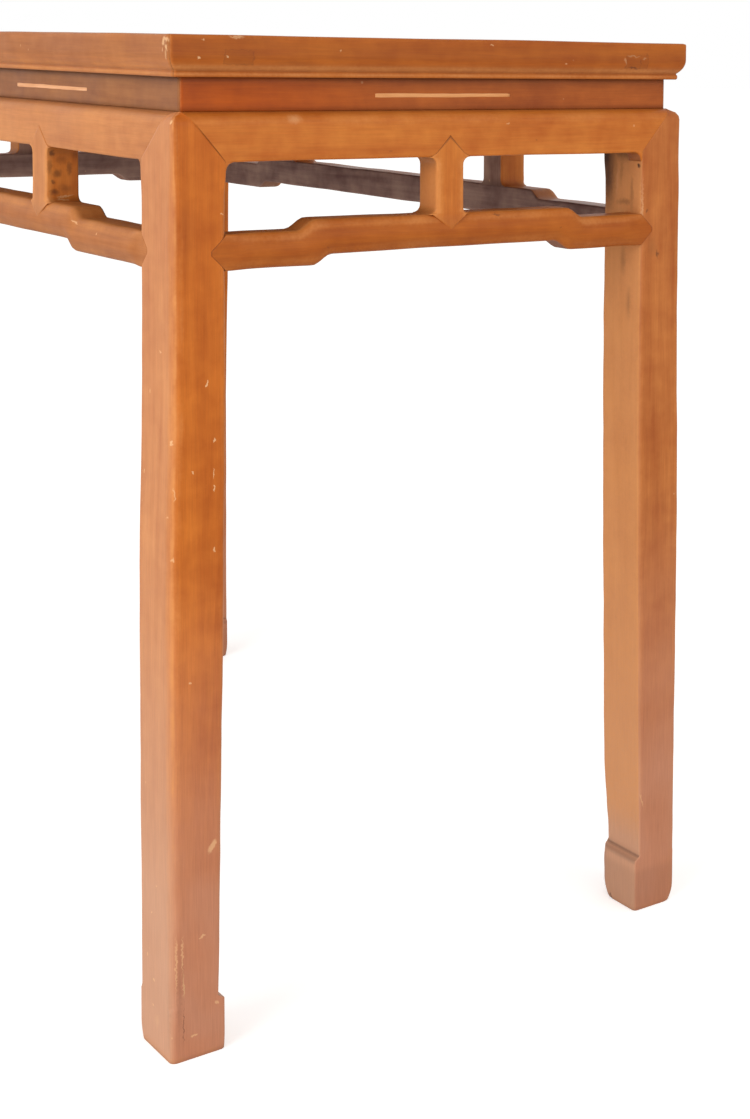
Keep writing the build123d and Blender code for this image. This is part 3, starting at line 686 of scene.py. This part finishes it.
    # darker at the top of the inner faces, painted shade with some dirt under the aprons; a painted shadow
    # line with dirt where the leg meets the hoof's ledge; darker on the hoof's slope, on the back feet and at
    # the soles
    grime = highest(
        inward * ramp(height, 690, 50) * dirtAndShadeLevels["inside"],
        inward * bell(height, hoof, 1.4 * mm) * dirtAndShadeLevels["hoof"],
        inward * bell(height, hoof - s["hoofSlope"], 2.5 * mm) * dirtAndShadeLevels["slope"],
        dirtAndShadeLevels["backFoot"] * ramp(height, 45, -10) * (signY > 0), dirtAndShadeLevels["sole"] * ramp(height, 5, -4),
    )
    grime[-3:] = np.maximum(grime[-3:], dirtAndShadeLevels["cut"])
    # the faces that look along the table take the painted sheen
    skin("leg", "leg_" + name, "honey_wood", rings, legWood[name],
         wear=highest(wear, soleWear, ridgeRubAndHighlight, innerPaintedLight), grime=grime, bleach=turnB**2)


# name, seed, lean outwards, share of the taper, share of the ridge's radius, hoof height, how many
# times the usual wear at the ridge's foot
for row in (
    ("back_right", 11, legSplay, 1.0, 0.4, 54 * mm, 10), ("back_left", 31, -4 * mm, 0.0, 0.8, 52 * mm, 4),
    ("front_right", 51, legSplay, 1.0, 1.0, 48 * mm, 0.5), ("front_left", 71, legSplay, 1.0, 0.8, 51 * mm, 3),
):
    makeLeg(*row)
print("legs made")

# aprons
# ease: how far the edge at the leg is eased; line: how dark the joint's line is
apronShape = settings(
    {"ease": settings(long=0.12, end=0.45), "line": {"long": 0.08, "end": 0.34}, "lopsided": 0.7,
     "wear": {"lowerEdge": 0.5, "shoulder": 0.3, "corner": 0.3},
     "grime": {"underside": 0.35, "besideLeg": 0.1, "underWaist": 0.35}},
    thickness=22, edge=2.5, spacing=5, waver=0.3, sag=0.5, lineWidth=0.55, cleanWidth=1.3, slideHeight=22,
    cornerLength=12,
)


def makeApron(side, seed):
    s, size, edge = apronShape, sides[side], apronShape["edge"]
    kind, across, inner, along = (size[key] for key in ("kind", "across", "inner", "along"))
    turn = np.linspace(-math.pi / 2, 0, 6)
    arc = np.linspace(0, math.pi / 2, 14)
    front = np.linspace(apronBottom + edge, apronTop - shoulder["rise"], 7)[1:-1]
    back = across - s["thickness"]
    outward = np.concatenate([
        np.linspace(back + 1 * mm, across - edge - 1 * mm, 5), across - edge + edge * np.cos(turn),
        np.full(len(front), across), across - waistRecess * (1 - np.cos(arc)),
        [across - waistRecess - 3 * mm, back + 1 * mm], np.full(5, back),
    ])
    up = np.concatenate([
        np.full(5, apronBottom), apronBottom + edge + edge * np.sin(turn), front,
        apronTop - shoulder["rise"] * (1 - np.sin(arc)), [apronTop, apronTop],
        np.linspace(apronTop - 1 * mm, apronBottom + 1 * mm, 5),
    ])
    onFront = (outward > across - waistRecess - 0.1 * mm) & (up > apronBottom + 1.2 * mm)
    # the underside turns down beside each leg in a quarter circle, and slides the face down with it
    slide = np.clip(1 - (up - apronBottom) / s["slideHeight"], 0, 1)
    # the slanted mitre, which stops at the middle of the rounded corner
    share = np.clip((up - openingRadius * slide - apronBottom) / (apronTop - apronBottom), 0, 1)
    mitre = inner + share * (along - waistRecess - inner)
    sharp = along - shoulderInset(up)
    corner = cornerRadius(up)
    end = np.minimum(mitre, sharp - corner * cornerCut)
    end = np.where(onFront, np.maximum(end, inner + 0.05 * mm), inner + 0.8 * mm)
    beneath = (up > apronTop - 0.1 * mm) & ~onFront
    end = np.where(beneath, along - (across - outward) - corner * cornerCut, end)

    middleRows = np.linspace(0, inner - s["cornerLength"], int(inner / s["spacing"]))
    cornerRows = np.linspace(inner - s["cornerLength"], inner, 12)[1:]
    rows = np.concatenate([middleRows, cornerRows])[:, None] * np.ones(len(up))
    lastRows = (s["cleanWidth"], s["lineWidth"], 0.0)
    beyond = endRows(np.full(len(up), inner), end, (0.12, 0.24, 0.36, 0.48, 0.6, 0.72), lastRows)
    x = bothWays(np.concatenate([rows, beyond]))
    away = np.abs(x)
    drop = roundInset(inner - away, openingRadius)
    y = outward - roundInset(sharp - away, corner) * onFront
    y = y + s["waver"] * drift(x, seed, 0.31) * onFront * ramp(inner - away, 0, 30)
    # the joint has opened more at one end than at the other, and closes under the shoulder
    opened = openShare(up) * (1 - s["lopsided"] * np.sign(x[[0, -1]]))
    y[[0, -1]] -= s["ease"][kind] * onFront * opened
    z = up - drop * slide + s["sag"] * drift(x, seed + 3, 0.4) * (up < apronBottom + 3 * mm) * (drop < 1e-6)
    rings = place(x, y, z, side)

    rubAndGlint, dirtAndShadeLevels = s["wear"], s["grime"]
    wear = highest(rubAndGlint["lowerEdge"] * fallOff(up - apronBottom, 2.5),
                   rubAndGlint["shoulder"] * bell(up, apronTop - 7 * mm, 6 * mm))
    cornerWear = rubAndGlint["corner"] * fallOff(away - sharp, 3)
    wear = onFront * highest(wear * (0.8 + 0.3 * drift(x, seed + 7, 0.11)), cornerWear)
    # the underside is darker, more beside the legs, and the face has painted shade in the crease under the
    # waist
    underside = dirtAndShadeLevels["underside"] + dirtAndShadeLevels["besideLeg"] * ramp(away - inner + 30 * mm, 0, 20)
    grime = highest((up < apronBottom + 0.1 * mm) * underside,
                    dirtAndShadeLevels["underWaist"] * onFront * fallOff(apronTop - up, 2))
    grime[rims] = np.maximum(grime[rims], s["line"][kind] * opened[[0, 0, 1, 1]])
    # the long aprons take the painted sheen
    skin("apron", "apron_" + side, "honey_wood", rings, apronWood[kind],
         wear=wear, grime=grime, bleach=size["bleach"], raw=bareShare * (outward < back + 0.5 * mm))


def eachSide(make, seed):
    for number, side in enumerate(sides):
        make(side, seed + 20 * number)


def overStruts(make, centre, length, endLength, seed):
    # two on each long side and one in the middle of each end
    for side in ("back", "front"):
        make(side, side + "_right", centre, length, seed)
        make(side, side + "_left", -centre, length, seed + 2)
    for side in ("right", "left"):
        make(side, side, 0.0, endLength, seed + 4)


eachSide(makeApron, 100)
print("aprons made")

# waist boards and the strips let into them
waistShape = settings(
    {"thickness": postBack - waistRecess, "redness": 0.38, "endWear": 0.4, "grime": (0.6, 0.4)},
    edge=0.6, waver=0.25, spacing=12, corner=2.5,
)


def makeWaist(side, seed):
    s, size = waistShape, sides[side]
    face = size["across"] - waistRecess
    loop = roundedLoop(s["thickness"], topUnderside - apronTop, 4 * mm, 3)
    outward, up = loopPoints(loop, face - s["thickness"], face, apronTop, topUnderside, np.full(4, s["edge"]))
    sharp = size["along"] - (size["across"] - outward)
    corner = np.where(outward > face - 3 * mm, s["corner"], 0.0)
    end = sharp - corner * cornerCut
    rows = np.linspace(0, 1, int(size["along"] / s["spacing"]))
    rows = np.concatenate([rows[:-1], np.linspace(rows[-2], 1, 8)[1:]])
    x = bothWays(rows[:, None] * end)
    away = np.abs(x)
    y = outward - roundInset(sharp - away, corner)
    y = y + s["waver"] * drift(x, seed, 0.25) * (away < end - 20 * mm)
    rings = place(x, y, up, side)
    # painted shade under the top's overhang and in the crease over the apron
    above, below = s["grime"]
    grime = above * fallOff(topUnderside - up, 4) + below * fallOff(up - apronTop, 1.5)
    # the long boards take the painted sheen, and the end boards are redder towards the front
    bleach = np.maximum(size["bleach"], s["redness"] * smooth(1 + x / (0.8 * size["along"])))
    skin("waist", "waist_" + side, "waist_wood", rings, waistWood[size["kind"]], grime=grime, bleach=bleach,
         wear=s["endWear"] * fallOff(end - away, 1.5), raw=bareShare * (outward < face - 2 * mm))


stripShape = settings({"rows": 60, "thin": 0.84}, waver=0.2, proud=0.3, depth=2, edge=0.3)


def makeStrip(side, name, centre, length, seed):
    # a thin strip with square ends whose height wanders a little
    s, size = stripShape, sides[side]
    face = size["across"] - waistRecess
    loop = roundedLoop(s["depth"], stripHigh.z - stripLow.z, 1.5 * mm, 4)
    share = np.linspace(-1, 1, s["rows"])[:, None]
    x = centre + share * length / 2
    middle = (stripLow.z + stripHigh.z) / 2 + s["waver"] * drift(x, seed, 0.12)
    thin = s["thin"] * (1 - 0.1 * share + 0.06 * drift(x, seed + 1, 0.05))
    half = (stripHigh.z - stripLow.z) / 2 * thin * (0.9 + 0.1 * smooth((1 - np.abs(share)) * 60))
    outward, up = loopPoints(
        loop, face - s["depth"], face + s["proud"], middle - half, middle + half, np.full(4, s["edge"])
    )
    rings = place(np.broadcast_to(x, up.shape), np.broadcast_to(outward, up.shape), up, side)
    skin("strip", "waist_strip_" + name, "pale_wood", rings, stripWood[size["kind"]])


eachSide(makeWaist, 200)
overStruts(makeStrip, (stripLow.x + stripHigh.x) / 2, stripHigh.x - stripLow.x,
           endStripHigh.y - endStripLow.y, 301)
print("waist made")

# humpback stretchers
# rise: where the hump starts from the leg; lag: how much later it does below; line: the joint's line
stretcherShape = settings(
    {"depth": stretcherHigh.y - stretcherLow.y, "arcPoints": 7, "edgeWear": (0.3, 0.45, 0.1, 0.1),
     "lowGrime": 0.13, "underGrime": 0.3, "underBare": 0.6, "topBleach": 0.8,
     "long": settings({"line": 0.3}, rise=148, lag=10), "end": settings({"line": 0.5}, rise=74, lag=14)},
    spacing=4, frontRadius=6, backRadius=2.5, tipRadius=2, crown=2.2, ogee=18, point=15, proud=0.2,
    waver=0.4, bend=0.3, tip=0.6, dip=0.5,
)


def makeStretcher(side, seed):
    s, size = stretcherShape, sides[side]
    across, inner = size["across"], size["inner"]
    hump = s[size["kind"]]
    loop = roundedLoop(s["depth"], stretcherTop - stretcherBottom, s["spacing"], s["arcPoints"])
    # the front corners are sharper where the shoulders lie on the legs
    radii = np.array([s["frontRadius"], s["frontRadius"], s["backRadius"], s["backRadius"]])
    tipRadii = np.array([s["tipRadius"], s["tipRadius"], s["backRadius"], s["backRadius"]])
    flatUp = loopPoints(loop, across - s["depth"], across, stretcherBottom, stretcherTop, tipRadii)[1]
    reach = 1 - np.abs(flatUp - stretcherMiddle) / ((stretcherTop - stretcherBottom) / 2)
    onFront = loop["turnA"] * loop["shareA"] > 0.25
    end = inner + np.where(onFront, np.maximum(s["point"] * reach, s["tip"]), s["tip"])
    middleRows = np.linspace(0, inner, int(inner / s["spacing"]) + 1)[:, None] * np.ones(len(reach))
    beyond = endRows(np.full(len(reach), inner), end, (0.2, 0.4, 0.6), (1.2 * mm, 0.5 * mm, 0.0))
    x = bothWays(np.concatenate([middleRows, beyond]))
    away = np.abs(x)
    middlePart = ramp(inner - away, 0, 25)
    low, high = (
        level + humpRise * smooth((half + s["ogee"] / 2 - away) / s["ogee"]) + s["waver"] * waver * middlePart
        for level, half, waver in (
            (stretcherBottom, inner - hump["rise"] - hump["lag"], drift(x, seed + 1, 0.23)),
            (stretcherTop, inner - hump["rise"], drift(x, seed, 0.19)),
        )
    )
    radii = tipRadii + (radii - tipRadii) * middlePart[..., None]
    outward, up = loopPoints(loop, across - s["depth"], across, low, high, radii)
    crown = s["crown"] * (1 - (2 * loop["shareB"] - 1) ** 2) * onFront
    outward = outward + crown * middlePart + s["proud"] * onFront
    outward = outward + s["bend"] * drift(x, seed + 2, 0.33) * middlePart * onFront
    outward[[0, -1]] -= s["dip"] * onFront
    rings = place(x, outward, up, side)
    wear = loop["near"] @ s["edgeWear"] * (0.75 + 0.35 * drift(x, seed + 7, 0.1))
    isBack = (loop["turnA"] < -0.5) & (loop["shareA"] < 0.5)
    isTop = (loop["turnB"] > 0.9) & (loop["shareB"] > 0.5)
    # the lower part of the front is darker, painted shade under its crown; the underside is darker
    lower = s["lowGrime"] * smooth((0.45 - loop["shareB"]) / 0.45) * onFront
    grime = np.maximum(lower, s["underGrime"] * (~onFront & ~isBack & ~isTop)) * np.ones_like(x)
    grime[rims] = np.maximum(grime[rims], hump["line"])
    # the long fronts take the painted sheen, and the tops a painted reflection of the bright backdrop
    skin("stretcher", "stretcher_" + side, "honey_wood", rings, railWood[size["kind"]],
         wear=wear, grime=grime, bleach=np.maximum(size["bleach"], s["topBleach"] * isTop),
         raw=np.maximum(isBack, s["underBare"] * (~onFront & ~isTop)))


eachSide(makeStretcher, 400)
print("stretchers made")

# struts
# dip: how far the points' edges are let in; then how pale the sides are rubbed; line: the joint's line
strutShape = settings(
    {"flare": strutFlare, "edgeWear": (0.1, 0.5, 0.6, 0.1), "endGrime": 0.4,
     "long": settings({"wear": 0.12, "line": 0.0}, dip=0.35),
     "end": settings({"wear": 0.68, "line": 0.5}, dip=0.7)},
    depth=30, radius=2.2, pointHeight=19, pointBase=3, footPoint=14, tip=0.6, proud=0.3, spacing=3.5,
    swellHeight=16,
)


def makeStrut(side, name, centre, width, seed):
    s, size, half, flare = strutShape, sides[side], width / 2, strutShape["flare"]
    across, kind = size["across"], s[size["kind"]]
    loop = roundedLoop(width, s["depth"], s["spacing"], 5)
    rows = np.concatenate([
        humpTop + flare * (1 - np.cos(np.linspace(0, math.pi / 2, 7))),
        np.linspace(humpTop + flare, apronBottom - flare, 9)[1:-1],
        apronBottom - flare * (1 - np.cos(np.linspace(math.pi / 2, 0, 7))),
    ])[:, None]
    spread = roundInset(rows - humpTop, flare) + roundInset(apronBottom - rows, flare)
    # the front edges round off at the foot as the stretcher's top edge does
    nearFoot = smooth((humpTop + flare - rows) / flare)
    footRound = s["radius"] + (stretcherShape["frontRadius"] - s["radius"]) * nearFoot
    radii = np.where([False, True, True, False], footRound, s["radius"])
    along, outward = loopPoints(loop, -half - spread, half + spread, across - s["depth"], across + s["proud"],
                                radii[:, None])
    onFront = (loop["turnB"] > 0.25) & (loop["shareB"] > 0.5)
    up = np.broadcast_to(rows, along.shape)
    # the front skin runs on into a point over the apron and another over the stretcher
    base = half + s["pointBase"]

    def pointRows(edgeAlong, start, height, sign):
        reach = np.where(onFront, np.clip(1 - np.abs(edgeAlong) / base, 0, 1) * height, 0) + s["tip"]
        return start + sign * reach * np.array([0.2, 0.4, 0.6, 0.8, 0.93, 1.0])[:, None]

    topRows = pointRows(along[-1], apronBottom, s["pointHeight"], 1)
    footRows = pointRows(along[0], humpTop, s["footPoint"], -1)[::-1]
    counts = (len(footRows), len(topRows))
    up = np.concatenate([footRows, up, topRows])
    along, outward = (
        np.concatenate([np.repeat(part[:1], counts[0], 0), part, np.repeat(part[-1:], counts[1], 0)])
        for part in (along, outward)
    )
    # the stretcher's front is crowned, so the strut swells out to it at its foot
    share = (np.minimum(up, humpTop - 2 * mm) - stretcherBottom - humpRise) / (stretcherTop - stretcherBottom)
    swell = stretcherShape["crown"] * (1 - (2 * share - 1) ** 2)
    outward = outward + swell * smooth((humpTop + s["swellHeight"] - up) / s["swellHeight"]) * onFront
    outward[[0, -1]] -= kind["dip"] * onFront
    rings = place(centre + along, outward, up, side)
    sideways = np.abs(loop["turnA"]) > 0.9
    # painted shade with some dirt on the sides and back near both ends, in the corners against the apron and
    # the stretcher; the foot darkens with the stretcher's painted shade; on the long sides the front and back
    # take the painted sheen
    nearEnds = np.maximum(smooth(1 - (up - humpTop) / (8 * mm)), smooth(1 - (apronBottom - up) / (16 * mm)))
    footShade = stretcherShape["lowGrime"] * ramp(humpTop + 4 * mm - up, 0, 12) * onFront
    grime = np.maximum(s["endGrime"] * nearEnds * (sideways | ~onFront), footShade)
    grime[[-2, -1]] = np.maximum(grime[[-2, -1]], kind["line"])
    skin("strut", "strut_" + name, "honey_wood", rings, strutWood, grime=grime,
         wear=np.maximum(loop["near"] @ s["edgeWear"], kind["wear"] * sideways),
         bleach=size["bleach"] * (np.abs(loop["turnB"]) > 0.5), raw=bareShare * (loop["turnB"] < -0.9))


overStruts(makeStrut, (strutLow.x + strutHigh.x) / 2, strutHigh.x - strutLow.x - 2 * strutShape["flare"],
           endStrutHigh.y - endStrutLow.y - 2 * strutShape["flare"], 501)
print("struts made")


# top frame
def railProfile(across):
    # outward and upward coordinates round the rail: top, eased corner, upright, ovolo, bead, underside
    s = railShape
    top, radius = tableHeight, s["topRadius"]
    turn = np.linspace(math.pi / 2, 0, 6)
    rise = s["ovoloLow"] - s["upright"]
    ovoloRadius = (s["inset"] ** 2 + rise**2) / (2 * s["inset"])
    arc = np.linspace(0, math.asin(rise / ovoloRadius), 10)
    face = across - s["inset"]
    bead = face - s["beadBack"]
    beadHalf = (tableHeight - topUnderside - s["beadTop"]) / 2
    swell = np.linspace(0.15, math.pi, 10)
    parts = [
        (np.linspace(across - s["width"], across - radius - 2 * mm, 12), np.full(12, top)),
        (across - radius + radius * np.cos(turn), top - radius + radius * np.sin(turn)),
        (np.full(5, across), np.linspace(top - radius - 2 * mm, top - s["upright"] + 1 * mm, 5)),
        (across - ovoloRadius + ovoloRadius * np.cos(arc), top - s["upright"] - ovoloRadius * np.sin(arc)),
        (bead + s["beadBulge"] * np.sin(swell), top - s["beadTop"] - beadHalf * (1 - np.cos(swell))),
        (np.linspace(face - 4 * mm, across - s["width"], 8), np.full(8, topUnderside)),
        (np.full(3, across - s["width"]), np.linspace(topUnderside + 3 * mm, top - 1 * mm, 3)),
    ]
    return (np.concatenate(values) for values in zip(*parts))


def makeRail(side, seed):
    s, size = railShape, sides[side]
    along, across = (topHalfLength, topHalfDepth)[:: 1 if size["kind"] == "long" else -1]
    outward, up = railProfile(across)
    onEdge = outward > across - 20 * mm
    corner = s["corner"] * ramp(outward - across + 30 * mm, 0, 12)
    sharp = along - (across - outward)
    end = sharp - corner * cornerCut
    rows = np.concatenate([np.linspace(0, 0.975, int(along / s["spacing"])), np.linspace(0.975, 1, 14)[1:]])
    x = bothWays(rows[:, None] * end)
    # both rails turn the same quarter circle, and meet half way round it
    away = np.abs(x)
    middlePart = ramp(end - away, 0, 20)
    y = outward - roundInset(sharp - away, corner) + s["waver"] * drift(x, seed, 0.37) * onEdge * middlePart
    z = up + s["hollow"] * (drift(x, seed + 1, 0.43) * middlePart - 1) * (up > tableHeight - 1 * mm)
    rings = place(x, y, z, side)
    depth = tableHeight - up
    rubAndGlint, dirtAndShadeLevels = s["wear"], s["grime"]
    # the top edge and the corners are rubbed; the ovolo's low band and the bead are paler, partly rubbed and
    # partly painted highlight
    wear = highest(
        rubAndGlint["topEdge"] * np.exp(-np.hypot(outward - across, up - tableHeight) / (2.5 * mm)),
        rubAndGlint["ovolo"] * bell(depth, 27 * mm, 2.6 * mm) * onEdge,
        rubAndGlint["bead"] * bell(depth, 32.6 * mm, 2 * mm) * onEdge,
        rubAndGlint["corner"] * np.exp(-(end - away) / (2.5 * mm)) * (outward > across - 8 * mm),
    )
    wear = wear * (0.85 + 0.25 * drift(x, seed + 3, 0.09))
    # darker under the frame, painted shade in the groove over the bead, and a little darker on the upright
    # face
    grime = np.ones_like(x) * highest(
        (up < topUnderside + 0.2 * mm) * dirtAndShadeLevels["underside"],
        dirtAndShadeLevels["groove"] * bell(depth, (s["ovoloLow"] + s["beadTop"]) / 2, 0.4 * mm) * onEdge,
        dirtAndShadeLevels["upright"] * ramp(depth, 3, 6) * onEdge * (depth < 20 * mm),
    )
    grime[[0, -1]] = np.maximum(grime[[0, -1]], dirtAndShadeLevels["joint"])
    # the underside of the ovolo is paler and pinker, a painted reflection; the top and back of the rail take
    # half the painted sheen
    pale = s["ovoloBleach"] * bell(depth, 27.5 * mm, 3 * mm)
    bleach = np.where(onEdge, np.maximum(size["bleach"], pale), s["backBleach"])
    skin("rail", "top_rail_" + side, "honey_wood", rings, railWood[size["kind"]],
         wear=wear, grime=grime, bleach=bleach)


eachSide(makeRail, 600)

# floating panel
boardShape = settings({"edgeWear": (0.0, 0.5, 0.5, 0.0), "underGrime": 0.7},
                      edge=0.8, cup=0.3, seam=0.25, gap=0.5, sunk=0.8, waver=0.2, spacing=14)


def makeBoard(name, low, high, seed):
    s = boardShape
    loop = roundedLoop(high - low, tableHeight - boardLow.z, 8 * mm, 4)
    halfPanel = topHalfLength - railShape["width"] - s["gap"]
    x = np.linspace(-halfPanel, halfPanel, int(2 * halfPanel / s["spacing"]))[:, None]
    y, z = loopPoints(
        loop, low + s["seam"], high - s["seam"], boardLow.z, tableHeight - s["sunk"], np.full(4, s["edge"])
    )
    middle, half = (low + high) / 2, (high - low) / 2
    cup = s["cup"] * (1 - ((y - middle) / half) ** 2) * (loop["shareB"] > 0.5)
    z = z + cup + s["waver"] * drift(x + y, seed, 0.3)
    rings = np.stack([np.broadcast_to(x, z.shape), np.broadcast_to(y, z.shape), z], -1)
    wear = loop["near"] @ s["edgeWear"]
    grime = s["underGrime"] * (loop["turnB"] < -0.9) * (loop["shareB"] < 0.5)
    skin("board", "panel_board_" + name, "panel_wood", rings, panelWood, wear=wear, grime=grime)


panelHalfDepth = topHalfDepth - railShape["width"]
boardWidth = 2 * panelHalfDepth / 3
for number, name in enumerate(("front", "middle", "back")):
    low = -panelHalfDepth + number * boardWidth
    makeBoard(name, low, low + boardWidth, 700 + number)
for name in ("left", "middle", "right"):
    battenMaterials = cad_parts["panel_batten_" + name].data.materials
    battenMaterials.clear()
    battenMaterials.append(battenWood)
print("top made")

# camera: a long shifted lens, for a frame of 750 by 1119
view = {
    "place": (2.02384, -0.91125, 0.84538), "azimuth": 49.7665, "down": 4.4209, "roll": 1.0308,
    "focal": 1966.11, "centre": (757.25, 201.51), "width": 750, "height": 1119, "sensor": 36.0,
    "clipEnd": 100,
}


def matrixOf(*columns):
    # the transform whose columns are right, up, backwards and place
    return Matrix(np.vstack([np.stack(columns, 1), (0, 0, 0, 1)]).tolist())


def makeCamera():
    azimuth, down, roll = (math.radians(view[key]) for key in ("azimuth", "down", "roll"))
    ahead = np.array([-math.sin(azimuth), math.cos(azimuth), 0.0]) * math.cos(down)
    ahead[2] = -math.sin(down)
    level = np.array([math.cos(azimuth), math.sin(azimuth), 0.0])
    above = np.cross(level, ahead)
    right = math.cos(roll) * level + math.sin(roll) * above
    upward = -math.sin(roll) * level + math.cos(roll) * above
    # The shift of the lens is a lean of the view's direction in the matrix over the camera. A camera that
    # is freed from its holder, to look from another side, then has the table in the middle.
    shiftX = (view["width"] / 2 - view["centre"][0]) / view["focal"]
    shiftY = (view["centre"][1] - view["height"] / 2) / view["focal"]
    leaning = ahead + shiftX * right + shiftY * upward
    stretch = np.linalg.norm(leaning)
    data = bpy.data.cameras.new("studioCamera")
    data.sensor_width = view["sensor"]
    data.lens = view["focal"] / view["height"] * view["sensor"] * stretch
    data.clip_end = view["clipEnd"]
    camera = addObject("studioCamera", data)
    camera.parent = addObject("cameraHolder", None)
    camera.matrix_parent_inverse = matrixOf(right, upward, -leaning / stretch, view["place"])
    bpy.context.scene.camera = camera


makeCamera()

# floor, world and lamps
studio = {
    "floorHalf": 30.0, "floorColour": "#F2F1EF", "floorGlow": 0.45, "worldLight": 0.7,
    # lamps: name, place, aim, size in metres, power in watts
    "lamps": [("keyLamp", (1.2, -3.2, 1.4), (0.1, 0.0, 0.45), 2.4, 66.0),
              ("fillLamp", (3.6, 0.9, 1.5), (0.3, 0.0, 0.4), 2.4, 26.0)],
}


def makeFloor():
    half = studio["floorHalf"]
    mesh = bpy.data.meshes.new("floor")
    corners = [(x * half, y * half, 0) for x, y in ((-1, -1), (1, -1), (1, 1), (-1, 1))]
    mesh.from_pydata(corners, [], [(0, 1, 2, 3)])
    addObject("floor", mesh)
    # matt pale floor; what the camera sees of it is lifted to the white of the backdrop
    material = bpy.data.materials.new("mattPaleFloor")
    add = newTree(material)
    strength = add("Math", times, (add("LightPath", {}, {}, "Is Camera Ray"), studio["floorGlow"]))
    matt = add("BsdfDiffuse", {}, {"Color": linear(studio["floorColour"])})
    lit = add("AddShader", {}, (matt, add("Emission", {}, {"Strength": strength})))
    add("OutputMaterial", {}, {"Surface": lit})
    mesh.materials.append(material)


def makeWorld():
    # the backdrop is white to the camera and in reflections, and lights the table less than that
    world = bpy.data.worlds.new("studioWhite")
    add = newTree(world)
    seen = reduce(lambda a, b: add("Math", largest, (a, b)), [
        add("LightPath", {}, {}, kind) for kind in ("Is Camera Ray", "Is Glossy Ray", "Is Transmission Ray")
    ])
    strength = add("MapRange", even, (seen, 0.0, 1.0, studio["worldLight"], 1.0))
    background = add("Background", {}, {"Color": (1, 1, 1, 1), "Strength": strength})
    add("OutputWorld", {}, {"Surface": background})
    bpy.context.scene.world = world


def makeLamp(name, place, aim, size, power):
    data = bpy.data.lights.new(name, "AREA")
    data.size = size
    data.energy = power
    backwards = np.array(place) - np.array(aim)
    backwards = backwards / np.linalg.norm(backwards)
    sideways = np.cross((0, 0, 1), backwards)
    sideways = sideways / np.linalg.norm(sideways)
    addObject(name, data).matrix_world = matrixOf(sideways, np.cross(backwards, sideways), backwards, place)


makeFloor()
makeWorld()
for lamp in studio["lamps"]:
    makeLamp(*lamp)
bpy.context.scene.view_settings.view_transform = "Standard"
print("camera, floor and lamps made")
